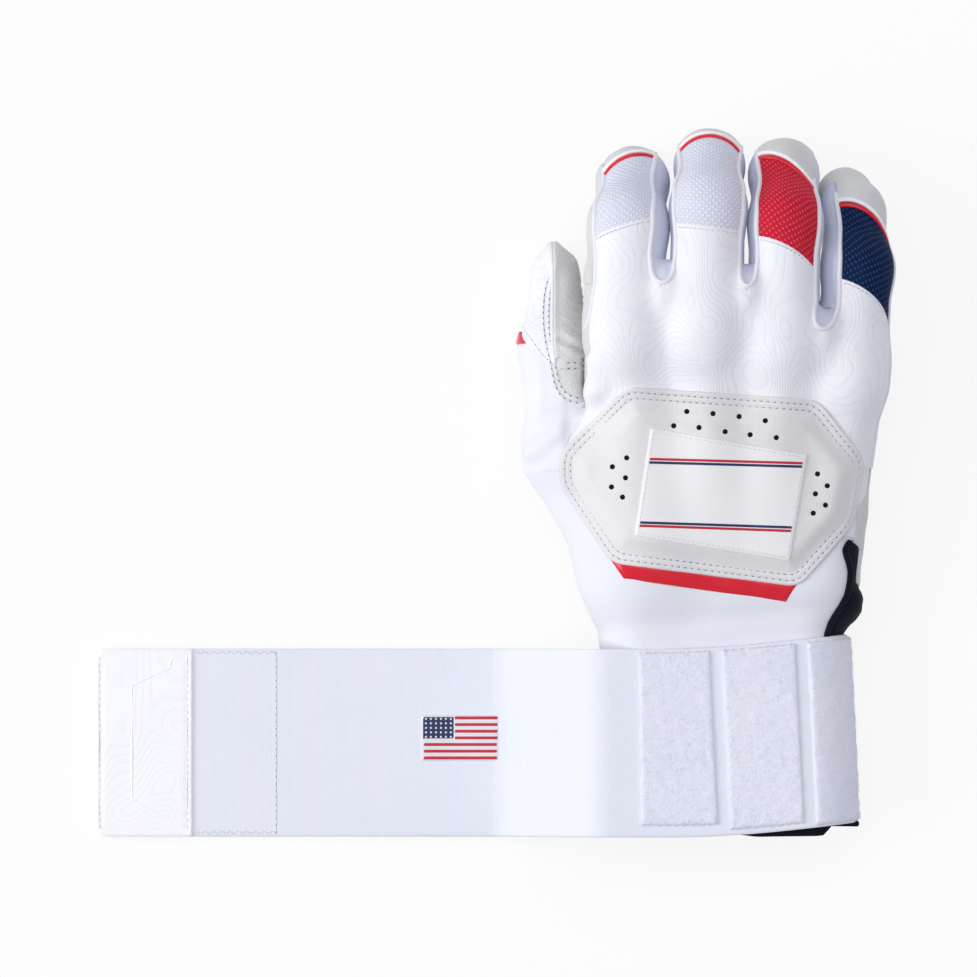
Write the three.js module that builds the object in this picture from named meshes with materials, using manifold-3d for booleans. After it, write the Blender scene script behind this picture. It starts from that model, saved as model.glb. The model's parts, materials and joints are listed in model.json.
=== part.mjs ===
// Right-hand batting glove with a compression wrist strap, lying palm down with its fingers curled.
// Millimetres, +Z up. X points to the little-finger side and Y to the fingertips. The origin is the
// middle of the strap's flat underside below the wrist, on the surface that the glove lies on.
import * as THREE from "three";
import Module from "manifold-3d";

const wasm = await Module();
wasm.setup();

// Wall thicknesses and fits
const LEATHER_THICK = 1.4;
const KNIT_THICK = 1.2;
const SEAM_GAP = 0.3;
const LAYER_GAP = 0.3;

// Wrist and cuff
const WRIST_RADIUS = 14;
const CUFF_LEFT = -32;
const CUFF_RIGHT = 22.5;
const CUFF_EDGE = -30.4;
const LINING_EDGE = -31.6;
const LINING_DEPTH = 14;
const LINING_THICK = 1.0;
const GUSSET_START = 37.5;
const GUSSET_END = 67;
const GUSSET_BULGE = 1.6;
const BINDING_WIDTH = 4;
const BINDING_THICK = 1.5;
const BINDING_FIT = 0.4;

// Wrist strap
const STRAP_WIDTH = 63.5;
const STRAP_THICK = 2.0;
const STRAP_FIT = 0.5;
const STRAP_FOLD_X = -48;
const STRAP_LAND_X = -79.5;
const LOOSE_LENGTH = 104.5;
const TAB_LENGTH = 33;
const TAB_SEAM_X = STRAP_LAND_X - LOOSE_LENGTH;
const TAB_END_X = TAB_SEAM_X - TAB_LENGTH;
const FOLD_GAP = 0.3;
const LAND_GAP = 0.95;
const TAB_THICK = 2.0;
const TAB_CORNER = 4;
const HOOK_THICK = 1.0;
const HOOK_INSET = 3;
const HOOK_STRIP_LENGTH = 27;
const LOOP_THICK = 1.2;
const LOOP_INSET = 2.5;
const FLAG_LENGTH = 26;
const FLAG_HEIGHT = 15.2;
const FLAG_THICK = 0.6;
const FLAG_X = -93.8;
const FLAG_Y = 1.6;

// Pad on the back of the hand
const PAD_RIM_THICK = 1.2;
const PAD_EASE = 0.7;
const FOAM_THICK = 2.2;
const LABEL_THICK = 1.0;
const PERFORATION = 2.0;
const ACCENT_THICK = 1.2;

// Strips at the fingertips
const STRIP_WIDTH = 2.0;
const PIPING_WIDTH = 1.0;
const PIPING_RISE = 0.5;

// Seam that crosses the back of the hand below the pad's middle, and the palm overlay
const BACK_SEAM_Y = 92;
const OVERLAY_THICK = 1.2;
const OVERLAY_FIT = 1.2;

const STRAP_HALF = STRAP_WIDTH / 2;
const PALM_FLOOR = WRIST_RADIUS + STRAP_FIT + STRAP_THICK;
const WRIST_Z = PALM_FLOOR;

const degrees = THREE.MathUtils.degToRad;
const lerp = THREE.MathUtils.lerp;

function point(x, y, z) {
  return new THREE.Vector3(x, y, z);
}

// A joint of the hand inside the glove: its place and the glove's radius there.
function joint(x, y, z, r) {
  return { at: point(x, y, z), r };
}

// Joints of each digit from the wrist to the tip, and the windows of its panels: the angles, seen
// from the wrist and counted from straight up towards the little finger, at which the back ends on
// both sides and the palm leather starts and ends.
const DIGITS = {
  index: {
    joints: [
      joint(-25, 56, 22, 13.2),
      joint(-38.2, 136, 45, 13),
      joint(-36.8, 174, 42, 12.5),
      joint(-35.2, 188.8, 22, 11),
      joint(-35, 189.8, 9.8, 9.8),
    ],
    back: [-68, 31],
    palm: [125, 290],
    web: [1.4, 1.62],
    mesh: [1.82, 1.86, 1.95],
    strip: [2.72, 2.82, 2.9],
  },
  middle: {
    joints: [
      joint(-8, 56, 22.5, 13.2),
      joint(-11.3, 138, 47.5, 13),
      joint(-10.3, 180, 44, 12.3),
      joint(-9.8, 194.8, 22, 11),
      joint(-9.7, 195.8, 9.8, 9.8),
    ],
    back: [-56, 56],
    palm: [125, 235],
    web: [1.5, 1.48],
    mesh: [1.81, 1.75, 1.77],
    strip: [2.83, 2.86, 2.83],
  },
  ring: {
    joints: [
      joint(10, 56, 22.5, 13.2),
      joint(14.3, 134, 45, 12.8),
      joint(15.7, 175, 43, 11.9),
      joint(15.2, 191.5, 26, 11),
      joint(14.6, 193, 9.8, 9.8),
    ],
    back: [-46, 56],
    palm: [125, 235],
    web: [1.58, 1.3],
    mesh: [1.83, 1.74, 1.6],
    strip: [2.83, 2.64, 2.38],
  },
  little: {
    joints: [
      joint(27, 56, 22, 13.2),
      joint(37, 122, 39, 12.2),
      joint(39.7, 160, 37, 11.2),
      joint(38, 178.5, 26, 10.3),
      joint(36, 184.5, 9.3, 9.3),
    ],
    back: [-26, 93],
    palm: [98, 235],
    web: [1.55, 1.4],
    mesh: [1.85, 1.71, 1.47],
    strip: [2.72, 2.62, 2.36],
  },
};
const THUMB = [
  joint(-38.6, 61, 20, 14.2),
  joint(-57.6, 98, 20, 14),
  joint(-61.7, 132, 16, 10.8),
  joint(-62.6, 162.4, 7.5, 6.3),
];
const WEBS = [point(-26.4, 156, 0), point(3, 155, 0), point(27, 140, 0)];
const NAMES = Object.keys(DIGITS);
const MC_BLEND = 13;
const CUFF_BLEND = 9;
const THUMB_BLEND = 22;
const FINGER_BLEND = 6;
const JOINT_BLEND = 5;
const THUMB_JOINT_BLEND = 8;
const CREASE = 2.08;
const CAP_EDGE = 3.35;
const HALF_SEAM_ANGLE = 1.8;

// Distance from p to a bone: a segment with a radius that changes along it.
function bone(p, a, b) {
  const along = b.at.clone().sub(a.at);
  const from = p.clone().sub(a.at);
  const h = THREE.MathUtils.clamp(from.dot(along) / along.lengthSq(), 0, 1);
  return from.addScaledVector(along, -h).length() - lerp(a.r, b.r, h);
}

// Smooth minimum of two distances.
function blend(a, b, k) {
  const h = Math.max(k - Math.abs(a - b), 0) / k;
  return Math.min(a, b) - h * h * k * 0.25;
}

// Distance to the cuff: a flat slab with round sides.
function cuffForm(p) {
  const x = p.x - THREE.MathUtils.clamp(p.x, CUFF_LEFT, CUFF_RIGHT);
  const y = p.y - THREE.MathUtils.clamp(p.y, -90, 50);
  return Math.hypot(x, y, p.z - WRIST_Z) - WRIST_RADIUS;
}

// Distance to the hand without its fingers.
function handForm(p) {
  let d = cuffForm(p);
  let rays = Infinity;
  for (const name of NAMES) {
    const j = DIGITS[name].joints;
    const end = { at: j[1].at.clone().lerp(j[2].at, 0.16), r: j[1].r - 0.9 };
    const ray = bone(p, j[0], end);
    rays = rays === Infinity ? ray : blend(rays, ray, MC_BLEND);
  }
  d = blend(d, rays, CUFF_BLEND);
  return blend(d, bone(p, THUMB[0], THUMB[1]), THUMB_BLEND);
}

function chainForm(p, joints, first, k) {
  let d = bone(p, joints[first], joints[first + 1]);
  for (let i = first + 1; i < joints.length - 1; i += 1) {
    d = blend(d, bone(p, joints[i], joints[i + 1]), k);
  }
  return d;
}

// The forms that panels lie on: the hand with one of its digits.
const FORMS = {};
for (const name of NAMES) {
  const { joints } = DIGITS[name];
  FORMS[name] = (p) => blend(handForm(p), chainForm(p, joints, 1, JOINT_BLEND), FINGER_BLEND);
}
FORMS.thumb = (p) => blend(handForm(p), chainForm(p, THUMB, 1, THUMB_JOINT_BLEND), THUMB_JOINT_BLEND);
// The whole hand, for the panels and layers that cross several digits.
const digitForms = Object.values(FORMS);
const wholeForm = (p) => Math.min(...digitForms.map((form) => form(p)));

function normal(p, form) {
  const e = 0.05;
  const n = point(
    form(point(p.x + e, p.y, p.z)) - form(point(p.x - e, p.y, p.z)),
    form(point(p.x, p.y + e, p.z)) - form(point(p.x, p.y - e, p.z)),
    form(point(p.x, p.y, p.z + e)) - form(point(p.x, p.y, p.z - e)),
  );
  return n.normalize();
}

// Moves a point to the form along the form's gradient.
function snap(p, form) {
  const q = p.clone();
  for (let i = 0; i < 8; i += 1) {
    q.addScaledVector(normal(q, form), -form(q));
  }
  return q;
}

// Follows a ray until it meets the form, from inside or from outside.
function cast(origin, direction, form) {
  const sign = form(origin) < 0 ? 1 : -1;
  const q = origin.clone();
  for (let i = 0; i < 70; i += 1) {
    q.addScaledVector(direction, -sign * 0.9 * form(q));
  }
  return q;
}

function drop(x, y, form) {
  return cast(point(x, y, 95), point(0, 0, -1), form);
}

function rise(x, y, form) {
  return cast(point(x, y, -30), point(0, 0, 1), form);
}

// A point on the hand at one height of the hand's length, at an angle round its middle: 0 towards
// the little finger and 90 straight up.
function around(y, angle, form = wholeForm) {
  const lift = Math.max(0, y - 50) * 0.26;
  const centre = point(-4 - Math.max(0, y - 40) * 0.06, y, WRIST_Z + lift);
  const a = degrees(angle);
  return cast(centre, point(2 * Math.cos(a), 0, Math.sin(a)).normalize(), form);
}

// Spine of a digit at s: the joints are at whole numbers, and the last unit turns over the tip.
function spine(joints, s) {
  const last = joints.length - 1;
  const k = Math.min(Math.floor(s), last - 1);
  const f = Math.min(s - k, 1);
  const at = joints[k].at.clone().lerp(joints[k + 1].at, f);
  const pitches = [];
  for (let i = 0; i < last; i += 1) {
    const d = joints[i + 1].at.clone().sub(joints[i].at);
    pitches.push(Math.atan2(d.z, Math.hypot(d.x, d.y)));
  }
  const atJoint = (i) => (pitches[Math.max(i - 1, 0)] + pitches[Math.min(i, last - 1)]) / 2;
  const pitch = lerp(atJoint(k), atJoint(k + 1), f);
  const run = joints[last].at.clone().sub(joints[1].at).setZ(0).normalize();
  const side = point(run.y, -run.x, 0);
  const tangent = run.clone().multiplyScalar(Math.cos(pitch));
  tangent.z = Math.sin(pitch);
  const up = side.clone().cross(tangent);
  return { at, side, tangent, up, over: degrees(90) * Math.max(0, s - last) };
}

// A point on a digit at s along it and at an angle round it.
function onDigit(joints, form, s, angle) {
  const f = spine(joints, s);
  const a = degrees(angle);
  const out = f.up.clone().multiplyScalar(Math.cos(a)).addScaledVector(f.side, Math.sin(a));
  const dir = out.multiplyScalar(Math.cos(f.over)).addScaledVector(f.tangent, Math.sin(f.over));
  return cast(f.at, dir, form);
}

function steps(n, from = 0, to = 1) {
  return Array.from({ length: n + 1 }, (_, i) => lerp(from, to, i / n));
}

// Rows of points between key rows, each moved to the form.
function ruled(keys, counts, form) {
  const rows = [];
  keys.slice(0, -1).forEach((key, k) => {
    for (let i = 0; i < counts[k]; i += 1) {
      const next = keys[k + 1];
      const f = i / counts[k];
      rows.push(key.map((p, c) => (f === 0 ? p : snap(p.clone().lerp(next[c], f), form))));
    }
  });
  rows.push(keys[keys.length - 1]);
  return rows;
}

// A row across the hand between two points of the form, above or below it.
function across(left, right, n, find, form) {
  return steps(n).map((t, i) => {
    if (i === 0) return left;
    if (i === n) return right;
    const f = (1 - Math.cos(Math.PI * t)) / 2;
    return find(lerp(left.x, right.x, f), lerp(left.y, right.y, f), form);
  });
}

// A closed sheet over grids of points that lie on forms. Grids that share points are joined there.
// The sheet fills the space between two heights over the form, each a number or a rule of a point.
function sheet(patches, low, high) {
  const keyOf = (p) => [p.x, p.y, p.z].map((v) => Math.round(v * 200)).join(",");
  const found = new Map();
  const points = [];
  const normals = [];
  const faces = [];
  const lows = [];
  const highs = [];
  const height = (rule, p, r, c) => (typeof rule === "function" ? rule(p, r, c) : rule);
  const indexOf = (p, form, r, c) => {
    const key = keyOf(p);
    if (!found.has(key)) {
      found.set(key, points.length);
      points.push(p);
      normals.push(normal(p, form));
      lows.push(height(low, p, r, c));
      highs.push(height(high, p, r, c));
    }
    return found.get(key);
  };
  const facing = ([a, b, c]) => {
    const u = points[b].clone().sub(points[a]);
    const v = points[c].clone().sub(points[a]);
    return u.cross(v).dot(normals[a].clone().add(normals[b]).add(normals[c]));
  };
  for (const { grid, form, closed } of patches) {
    const ids = grid.map((row, r) => row.map((p, c) => indexOf(p, form, r, c)));
    const made = [];
    for (let r = 0; r < ids.length - 1; r += 1) {
      const width = ids[r].length;
      for (let c = 0; c < (closed ? width : width - 1); c += 1) {
        const d = (c + 1) % width;
        made.push([ids[r][c], ids[r][d], ids[r + 1][d]]);
        made.push([ids[r][c], ids[r + 1][d], ids[r + 1][c]]);
      }
    }
    const whole = made.filter(([a, b, c]) => a !== b && b !== c && c !== a);
    const outward = whole.reduce((sum, face) => sum + facing(face), 0) > 0;
    faces.push(...whole.map(([a, b, c]) => (outward ? [a, b, c] : [a, c, b])));
  }
  const count = points.length;
  const positions = [];
  for (const heights of [highs, lows]) {
    points.forEach((p, i) => {
      const q = p.clone().addScaledVector(normals[i], heights[i]);
      positions.push(q.x, q.y, q.z);
    });
  }
  const edges = new Set();
  for (const [a, b, c] of faces) {
    edges.add(`${a},${b}`);
    edges.add(`${b},${c}`);
    edges.add(`${c},${a}`);
  }
  const index = [];
  for (const [a, b, c] of faces) {
    index.push(a, b, c, a + count, c + count, b + count);
  }
  for (const edge of edges) {
    const [a, b] = edge.split(",").map(Number);
    if (edges.has(`${b},${a}`)) continue;
    index.push(a, a + count, b + count, a, b + count, b);
  }
  const geometry = new THREE.BufferGeometry();
  geometry.setAttribute("position", new THREE.Float32BufferAttribute(positions, 3));
  geometry.setIndex(index);
  return geometry;
}

function toSolid(geometry) {
  const vertProperties = new Float32Array(geometry.getAttribute("position").array);
  const triVerts = new Uint32Array(geometry.index.array);
  return new wasm.Manifold(new wasm.Mesh({ numProp: 3, vertProperties, triVerts }));
}

function toGeometry(solid) {
  const mesh = solid.getMesh();
  const geometry = new THREE.BufferGeometry();
  geometry.setAttribute("position", new THREE.BufferAttribute(mesh.vertProperties, mesh.numProp));
  geometry.setIndex(new THREE.BufferAttribute(mesh.triVerts, 1));
  return geometry;
}

const glove = new THREE.Group();
const FINISH = {
  white_leather: { color: 0xf2f2f5, roughness: 0.55 },
  grey_leather: { color: 0xe4e2e1, roughness: 0.6 },
  palm_leather: { color: 0xe6e5e4, roughness: 0.65 },
  white_knit: { color: 0xe6e8f2, roughness: 0.85 },
  red_knit: { color: 0xc81e34, roughness: 0.8 },
  navy_knit: { color: 0x14224a, roughness: 0.8 },
  red_trim: { color: 0xd81e3a, roughness: 0.35 },
  navy_cloth: { color: 0x0b1430, roughness: 0.8 },
  elastic: { color: 0xf0f0f6, roughness: 0.85 },
  loop: { color: 0xdcdcec, roughness: 0.95 },
  hook: { color: 0xd8d8de, roughness: 0.7 },
  foam: { color: 0x1c1c20, roughness: 0.9 },
};

function add(name, geometry, finish) {
  const flat = geometry.index ? geometry.toNonIndexed() : geometry;
  flat.computeVertexNormals();
  const mesh = new THREE.Mesh(flat, new THREE.MeshStandardMaterial({ metalness: 0, ...FINISH[finish] }));
  mesh.name = name;
  glove.add(mesh);
}

const SKIN = [-LEATHER_THICK, 0];
const KNIT = [-KNIT_THICK, 0];
const onSkin = LAYER_GAP;

// Fingers

// Length in s of a distance in mm on one bone.
function inS(joints, first, mm) {
  return mm / joints[first].at.distanceTo(joints[first + 1].at);
}

function digitRow(joints, form, angles, s) {
  const rule = typeof s === "function" ? s : () => s;
  return angles.map((a, i) => onDigit(joints, form, rule(i / (angles.length - 1)), a));
}

function between([a, b]) {
  return (t) => lerp(a, b, t);
}

// A curve through a left, a middle and a right value.
function through([a, b, c]) {
  return (t) => a * (1 - t) * (1 - 2 * t) + 4 * b * t * (1 - t) + c * t * (2 * t - 1);
}

// Angles of a window without half a seam at both ends.
function panelAngles([from, to], n) {
  const seam = HALF_SEAM_ANGLE * Math.sign(to - from);
  return steps(n, from + seam, to - seam);
}

// The gap at the finger's crease widens away from the hinge, which lies a little above the skin.
const HINGE_RISE = 2.4;
const CREASE_GAP = 0.45;
const CREASE_SPREAD = Math.tan(degrees(26));
const MESH_COLOURS = { index: "white_knit", middle: "white_knit", ring: "red_knit", little: "navy_knit" };

for (const name of NAMES) {
  const { joints, back, palm, mesh, strip } = DIGITS[name];
  const form = FORMS[name];
  const angles = panelAngles(back, 5);
  const gap = inS(joints, 2, SEAM_GAP);
  const stripS = through(strip);
  const meshRows = (t) => through(mesh)(t) + inS(joints, 1, SEAM_GAP);
  const rowAt = (rule) => digitRow(joints, form, angles, rule);
  const stripEnd = (t) => stripS(t) + inS(joints, 2, STRIP_WIDTH);
  const pipeEnd = (t) => stripEnd(t) + inS(joints, 2, PIPING_WIDTH) + gap;
  const meshGrid = steps(4).map((f) => rowAt((t) => lerp(meshRows(t), stripS(t) - gap, f)));
  add(`${name}_mesh`, sheet([{ grid: meshGrid, form }], ...KNIT), MESH_COLOURS[name]);
  const strips = [rowAt(stripS), rowAt(stripEnd)];
  add(`${name}_accent`, sheet([{ grid: strips, form }], -LEATHER_THICK * 0.6, 0.2), "red_trim");
  const pipes = [rowAt((t) => stripEnd(t) + gap), rowAt(pipeEnd)];
  add(`${name}_piping`, sheet([{ grid: pipes, form }], -LEATHER_THICK * 0.6, PIPING_RISE), "white_leather");

  // Fingertip: a strip under the finger from the crease, the tip, and a strip over it to the piping.
  const palmAngles = panelAngles(palm, 5);
  const right = steps(2, angles[5], palmAngles[0]).slice(1, -1);
  const left = steps(2, palmAngles[5], angles[0] + 360).slice(1, -1);
  const ring = [...angles, ...right, ...palmAngles, ...(left[0] > palmAngles[5] + 3 ? left : [])];
  const tipRows = [CAP_EDGE, 3.8, 4.25, 4.6, 4.84].map((s) => digitRow(joints, form, ring, s));
  tipRows.push(ring.map(() => onDigit(joints, form, 5, 0)));
  const over = steps(3).map((f) => rowAt((t) => lerp(pipeEnd(t) + gap, CAP_EDGE, f)));
  const creaseAt = (t) => {
    const a = degrees(lerp(palmAngles[0], palmAngles[5], t));
    const r = joints[2].r;
    const height = Math.abs(r * (1 + Math.cos(a)) - HINGE_RISE);
    return CREASE + inS(joints, 2, CREASE_GAP + (height + LEATHER_THICK) * CREASE_SPREAD);
  };
  const underAt = (f) => (t) => lerp(creaseAt(t), CAP_EDGE, f);
  const under = steps(4).map((f) => digitRow(joints, form, palmAngles, underAt(f)));
  const grids = [{ grid: tipRows, form, closed: true }, { grid: over, form }, { grid: under, form }];
  add(`${name}_tip`, sheet(grids, ...SKIN), "palm_leather");
}

// Fourchettes: the side of one finger, the web, and the side of the next finger

const WEB_NOTCH = 7;
const NOTCH_GAP = 1.8;
const WEB_COLUMNS = 3;

for (let i = 0; i < 3; i += 1) {
  const [a, b] = [DIGITS[NAMES[i]], DIGITS[NAMES[i + 1]]];
  const [formA, formB] = [FORMS[NAMES[i]], FORMS[NAMES[i + 1]]];
  const sidesA = panelAngles([a.back[1], a.palm[0]], WEB_COLUMNS);
  const sidesB = panelAngles([b.back[0], b.palm[1] - 360], WEB_COLUMNS);
  const end = CAP_EDGE - inS(a.joints, 3, SEAM_GAP);
  const levels = steps(10);
  const rows = (d, form, list, web) =>
    levels.map((f) => digitRow(d.joints, form, list, lerp(web + 0.06, end, f)));
  const sideA = rows(a, formA, sidesA, a.web[1]);
  const sideB = rows(b, formB, sidesB, b.web[0]);
  const both = (p) => blend(handForm(p), Math.min(formA(p), formB(p)), 3);
  // The web follows the back panel's notch above and the palm leather's notch below.
  const notch = (c, find) => {
    const spot = find(WEBS[i].x, WEBS[i].y - WEB_NOTCH + NOTCH_GAP, wholeForm);
    const half = (p) => snap(p.clone().lerp(spot, 0.5).add(point(0, NOTCH_GAP / 2, 0)), wholeForm);
    return [half(sideA[0][c]), spot, half(sideB[0][c])];
  };
  const edges = { 0: notch(0, drop), [WEB_COLUMNS]: notch(WEB_COLUMNS, rise) };
  const inner = steps(4).slice(1, -1).map((f, r) => sideA[0].map((p, c) =>
    edges[c]?.[r] ?? snap(p.clone().lerp(sideB[0][c], f).add(point(0, -2.5, 0)), both)));
  const web = [sideA[0], ...inner, sideB[0]];
  const grids = [
    { grid: sideA, form: formA },
    { grid: web, form: both },
    { grid: sideB, form: formB },
  ];
  add(`fourchette_${NAMES[i]}_${NAMES[i + 1]}`, sheet(grids, ...KNIT), "white_leather");
}

// Back panel: four lobes that are joined below the webs

const half = SEAM_GAP / 2;
const LOBE_COLUMNS = 5;
const BACK_ROWS = 6;
const SEAM_SPLITS = [-50, -22, 2, 22];
const backGrids = NAMES.map((name, i) => {
  const { joints, back, web, mesh } = DIGITS[name];
  const form = FORMS[name];
  const angles = panelAngles(back, LOBE_COLUMNS);
  const y = BACK_SEAM_Y + half;
  const spot = (x, yy) => drop(x, yy, wholeForm);
  const corner = (x) => (x === undefined ? around(y, 14) : spot(x, y));
  const ends = [corner(SEAM_SPLITS[i]), corner(SEAM_SPLITS[i + 1])];
  const bottom = across(...ends, LOBE_COLUMNS, drop, wholeForm);
  const webSpot = (k) => spot(WEBS[k].x, WEBS[k].y - WEB_NOTCH);
  const leftMid = i === 0 ? onDigit(joints, form, 1.2, back[0]) : webSpot(i - 1);
  const rightMid = i === 3 ? onDigit(joints, form, 1.1, back[1]) : webSpot(i);
  const middle = across(leftMid, rightMid, LOBE_COLUMNS, drop, wholeForm);
  const lobe = steps(2).map((f) =>
    digitRow(joints, form, angles, (t) => lerp(between(web)(t) + 0.06, through(mesh)(t), f)));
  const low = ruled([bottom, middle], [BACK_ROWS], wholeForm);
  const root = ruled([middle, lobe[0]], [2], form);
  return { grid: [...low.slice(0, -1), ...root.slice(0, -1), ...lobe], form };
});
for (let i = 0; i < 3; i += 1) {
  backGrids[i + 1].grid.slice(0, BACK_ROWS + 1).forEach((row, r) => {
    row[0] = backGrids[i].grid[r][LOBE_COLUMNS];
  });
}
add("back_panel", sheet(backGrids, ...SKIN), "white_leather");

// Wrist panel and palm leather

const wristRows = [
  [CUFF_EDGE, -8, 188],
  [0, -8, 188],
  [GUSSET_START - 3, -8, 188],
  [GUSSET_START, 26, 188],
  [GUSSET_END, 26, 190],
  [GUSSET_END + 4, 14, 192],
  [BACK_SEAM_Y - half, 14, 196],
];
const girth = (n) => ([y, from, to]) => steps(n, to, from).map((a) => around(y, a));
const wristKeys = wristRows.map(girth(20));
const wristGrid = ruled(wristKeys, [2, 2, 1, 3, 1, 2], wholeForm);
add("wrist_panel", sheet([{ grid: wristGrid, form: wholeForm }], ...KNIT), "white_knit");

const palmRows = [
  [CUFF_EDGE, -10.5, -169.5],
  [0, -10.5, -169.5],
  [GUSSET_START - 3, -10.5, -169.5],
  [GUSSET_START, -34, -169.5],
  [GUSSET_END, -34, -167.5],
  [GUSSET_END + 4, 12, -160],
  [BACK_SEAM_Y - 4, 12, -150],
];
const palmKeys = palmRows.map(girth(4 * LOBE_COLUMNS));
const palmGrid = ruled(palmKeys, [2, 2, 1, 3, 1, 2], wholeForm);
const heelEnd = palmGrid[palmGrid.length - 1];
const palmGrids = [{ grid: palmGrid, form: wholeForm }];
const palmLobes = NAMES.map((name, i) => {
  const { joints, palm, web } = DIGITS[name];
  const form = FORMS[name];
  const angles = panelAngles(palm, LOBE_COLUMNS).reverse();
  const bottom = heelEnd.slice(i * LOBE_COLUMNS, (i + 1) * LOBE_COLUMNS + 1);
  const webSpot = (k) => rise(WEBS[k].x, WEBS[k].y - WEB_NOTCH, wholeForm);
  const leftMid = i === 0 ? onDigit(joints, form, 1.2, 230) : webSpot(i - 1);
  const rightMid = i === 3 ? onDigit(joints, form, 1.05, palm[0] + HALF_SEAM_ANGLE) : webSpot(i);
  const middle = across(leftMid, rightMid, LOBE_COLUMNS, rise, form);
  const creaseAt = (t) => {
    const a = degrees(lerp(angles[0], angles[LOBE_COLUMNS], t));
    const height = Math.abs(joints[2].r * (1 + Math.cos(a)) - HINGE_RISE);
    return CREASE - inS(joints, 1, CREASE_GAP + (height + LEATHER_THICK) * CREASE_SPREAD);
  };
  const lobe = steps(5).map((f) =>
    digitRow(joints, form, angles, (t) => lerp(between(web)(t) + 0.06, creaseAt(t), f)));
  const low = ruled([bottom, middle, lobe[0]], [3, 2], form);
  return { grid: [...low.slice(0, -1), ...lobe], form };
});
for (let i = 0; i < 3; i += 1) {
  palmLobes[i + 1].grid.slice(0, 4).forEach((row, r) => {
    row[0] = palmLobes[i].grid[r][LOBE_COLUMNS];
  });
}
add("palm_leather", sheet([...palmGrids, ...palmLobes], ...SKIN), "palm_leather");

const overlayRow = (y, from, to) => steps(6, from, to).map((x) => rise(x, y, wholeForm));
const overlayKeys = [overlayRow(56, -24, 18), overlayRow(70, -30, 24), overlayRow(86, -28, 26)];
const overlay = ruled(overlayKeys, [3, 3], wholeForm);
const overlayHeights = [OVERLAY_FIT, OVERLAY_FIT + OVERLAY_THICK];
add("palm_overlay", sheet([{ grid: overlay, form: wholeForm }], ...overlayHeights), "palm_leather");

// Cuff lining, gusset in the wrist slit and its binding

const ringAngles = steps(27, 0, 360 - 360 / 28);
const liningGrid = [LINING_EDGE, CUFF_EDGE + 4, LINING_EDGE + LINING_DEPTH].map((y) =>
  ringAngles.map((a) => around(y, a, cuffForm)));
const liningTop = -LEATHER_THICK - LAYER_GAP;
const lining = [{ grid: liningGrid, form: cuffForm, closed: true }];
add("cuff_lining", sheet(lining, liningTop - LINING_THICK, liningTop), "navy_cloth");

const gussetRow = (y, from, to) => steps(4, from, to).map((a) => around(y, a));
const bindingAngle = 23;
const gussetKeys = [
  gussetRow(GUSSET_START + 0.8, -32, bindingAngle - 4),
  gussetRow((GUSSET_START + GUSSET_END) / 2, -32, bindingAngle - 4),
  gussetRow(GUSSET_END - 0.8, -32, bindingAngle - 4),
];
const bulge = (p, r, c) => (r % 4 === 0 || c % 4 === 0 ? 0 : GUSSET_BULGE);
const gussetGrid = ruled(gussetKeys, [2, 2], handForm);
const gussetLow = (...k) => bulge(...k) - KNIT_THICK;
add("cuff_gusset", sheet([{ grid: gussetGrid, form: handForm }], gussetLow, bulge), "navy_cloth");

const bindingStart = GUSSET_START + 2;
const bindingLine = steps(8, bindingStart, GUSSET_END - 2);
const bindingGrid = [0, BINDING_WIDTH].map((w) =>
  bindingLine.map((y) => snap(around(y, bindingAngle + 4).add(point(-w, 0, 0)), handForm)));
const bindingLow = LAYER_GAP + BINDING_FIT;
const binding = [{ grid: bindingGrid, form: handForm }];
add("gusset_binding", sheet(binding, bindingLow, bindingLow + BINDING_THICK), "navy_cloth");

// Pad on the back: cover, foam, label and accent. Outlines are seen from above.

const PAD_OUTLINE = [
  [-36.1, 119.8], [24.7, 115.7], [41.2, 95.4], [38.2, 73.5],
  [19.6, 52.9], [-42.6, 61], [-59.5, 87], [-59.5, 98],
];
const PAD_CENTRE = [-9.5, 87];
const LABEL = [[-29.7, 105.6], [22.6, 97.5], [17.2, 62], [-35.8, 70.1]];
const ACCENT = [[-42.2, 60.2], [19.4, 52.1], [15.5, 47.8], [-38, 55.6]];
const PERFORATIONS = [
  [-17.6, 111.7], [-8.8, 111], [0, 110], [8.8, 108.6],
  [-22, 106.9], [-13.5, 106.3], [-4.7, 104.9], [3.7, 103.9], [12.5, 102.9],
  [-37.8, 96.1], [-42.6, 93.1], [-38.2, 89.4], [-42.9, 86.3], [-39.2, 82.9],
  [26.4, 90.7], [29.7, 86.7], [25.7, 84], [29.1, 80.2], [25, 77.5],
];

function padLine(count) {
  const line = [];
  PAD_OUTLINE.forEach((a, i) => {
    const b = PAD_OUTLINE[(i + 1) % PAD_OUTLINE.length];
    const n = Math.max(1, Math.round(Math.hypot(b[0] - a[0], b[1] - a[1]) / count));
    for (let k = 0; k < n; k += 1) {
      line.push([lerp(a[0], b[0], k / n), lerp(a[1], b[1], k / n)]);
    }
  });
  return line;
}

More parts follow.
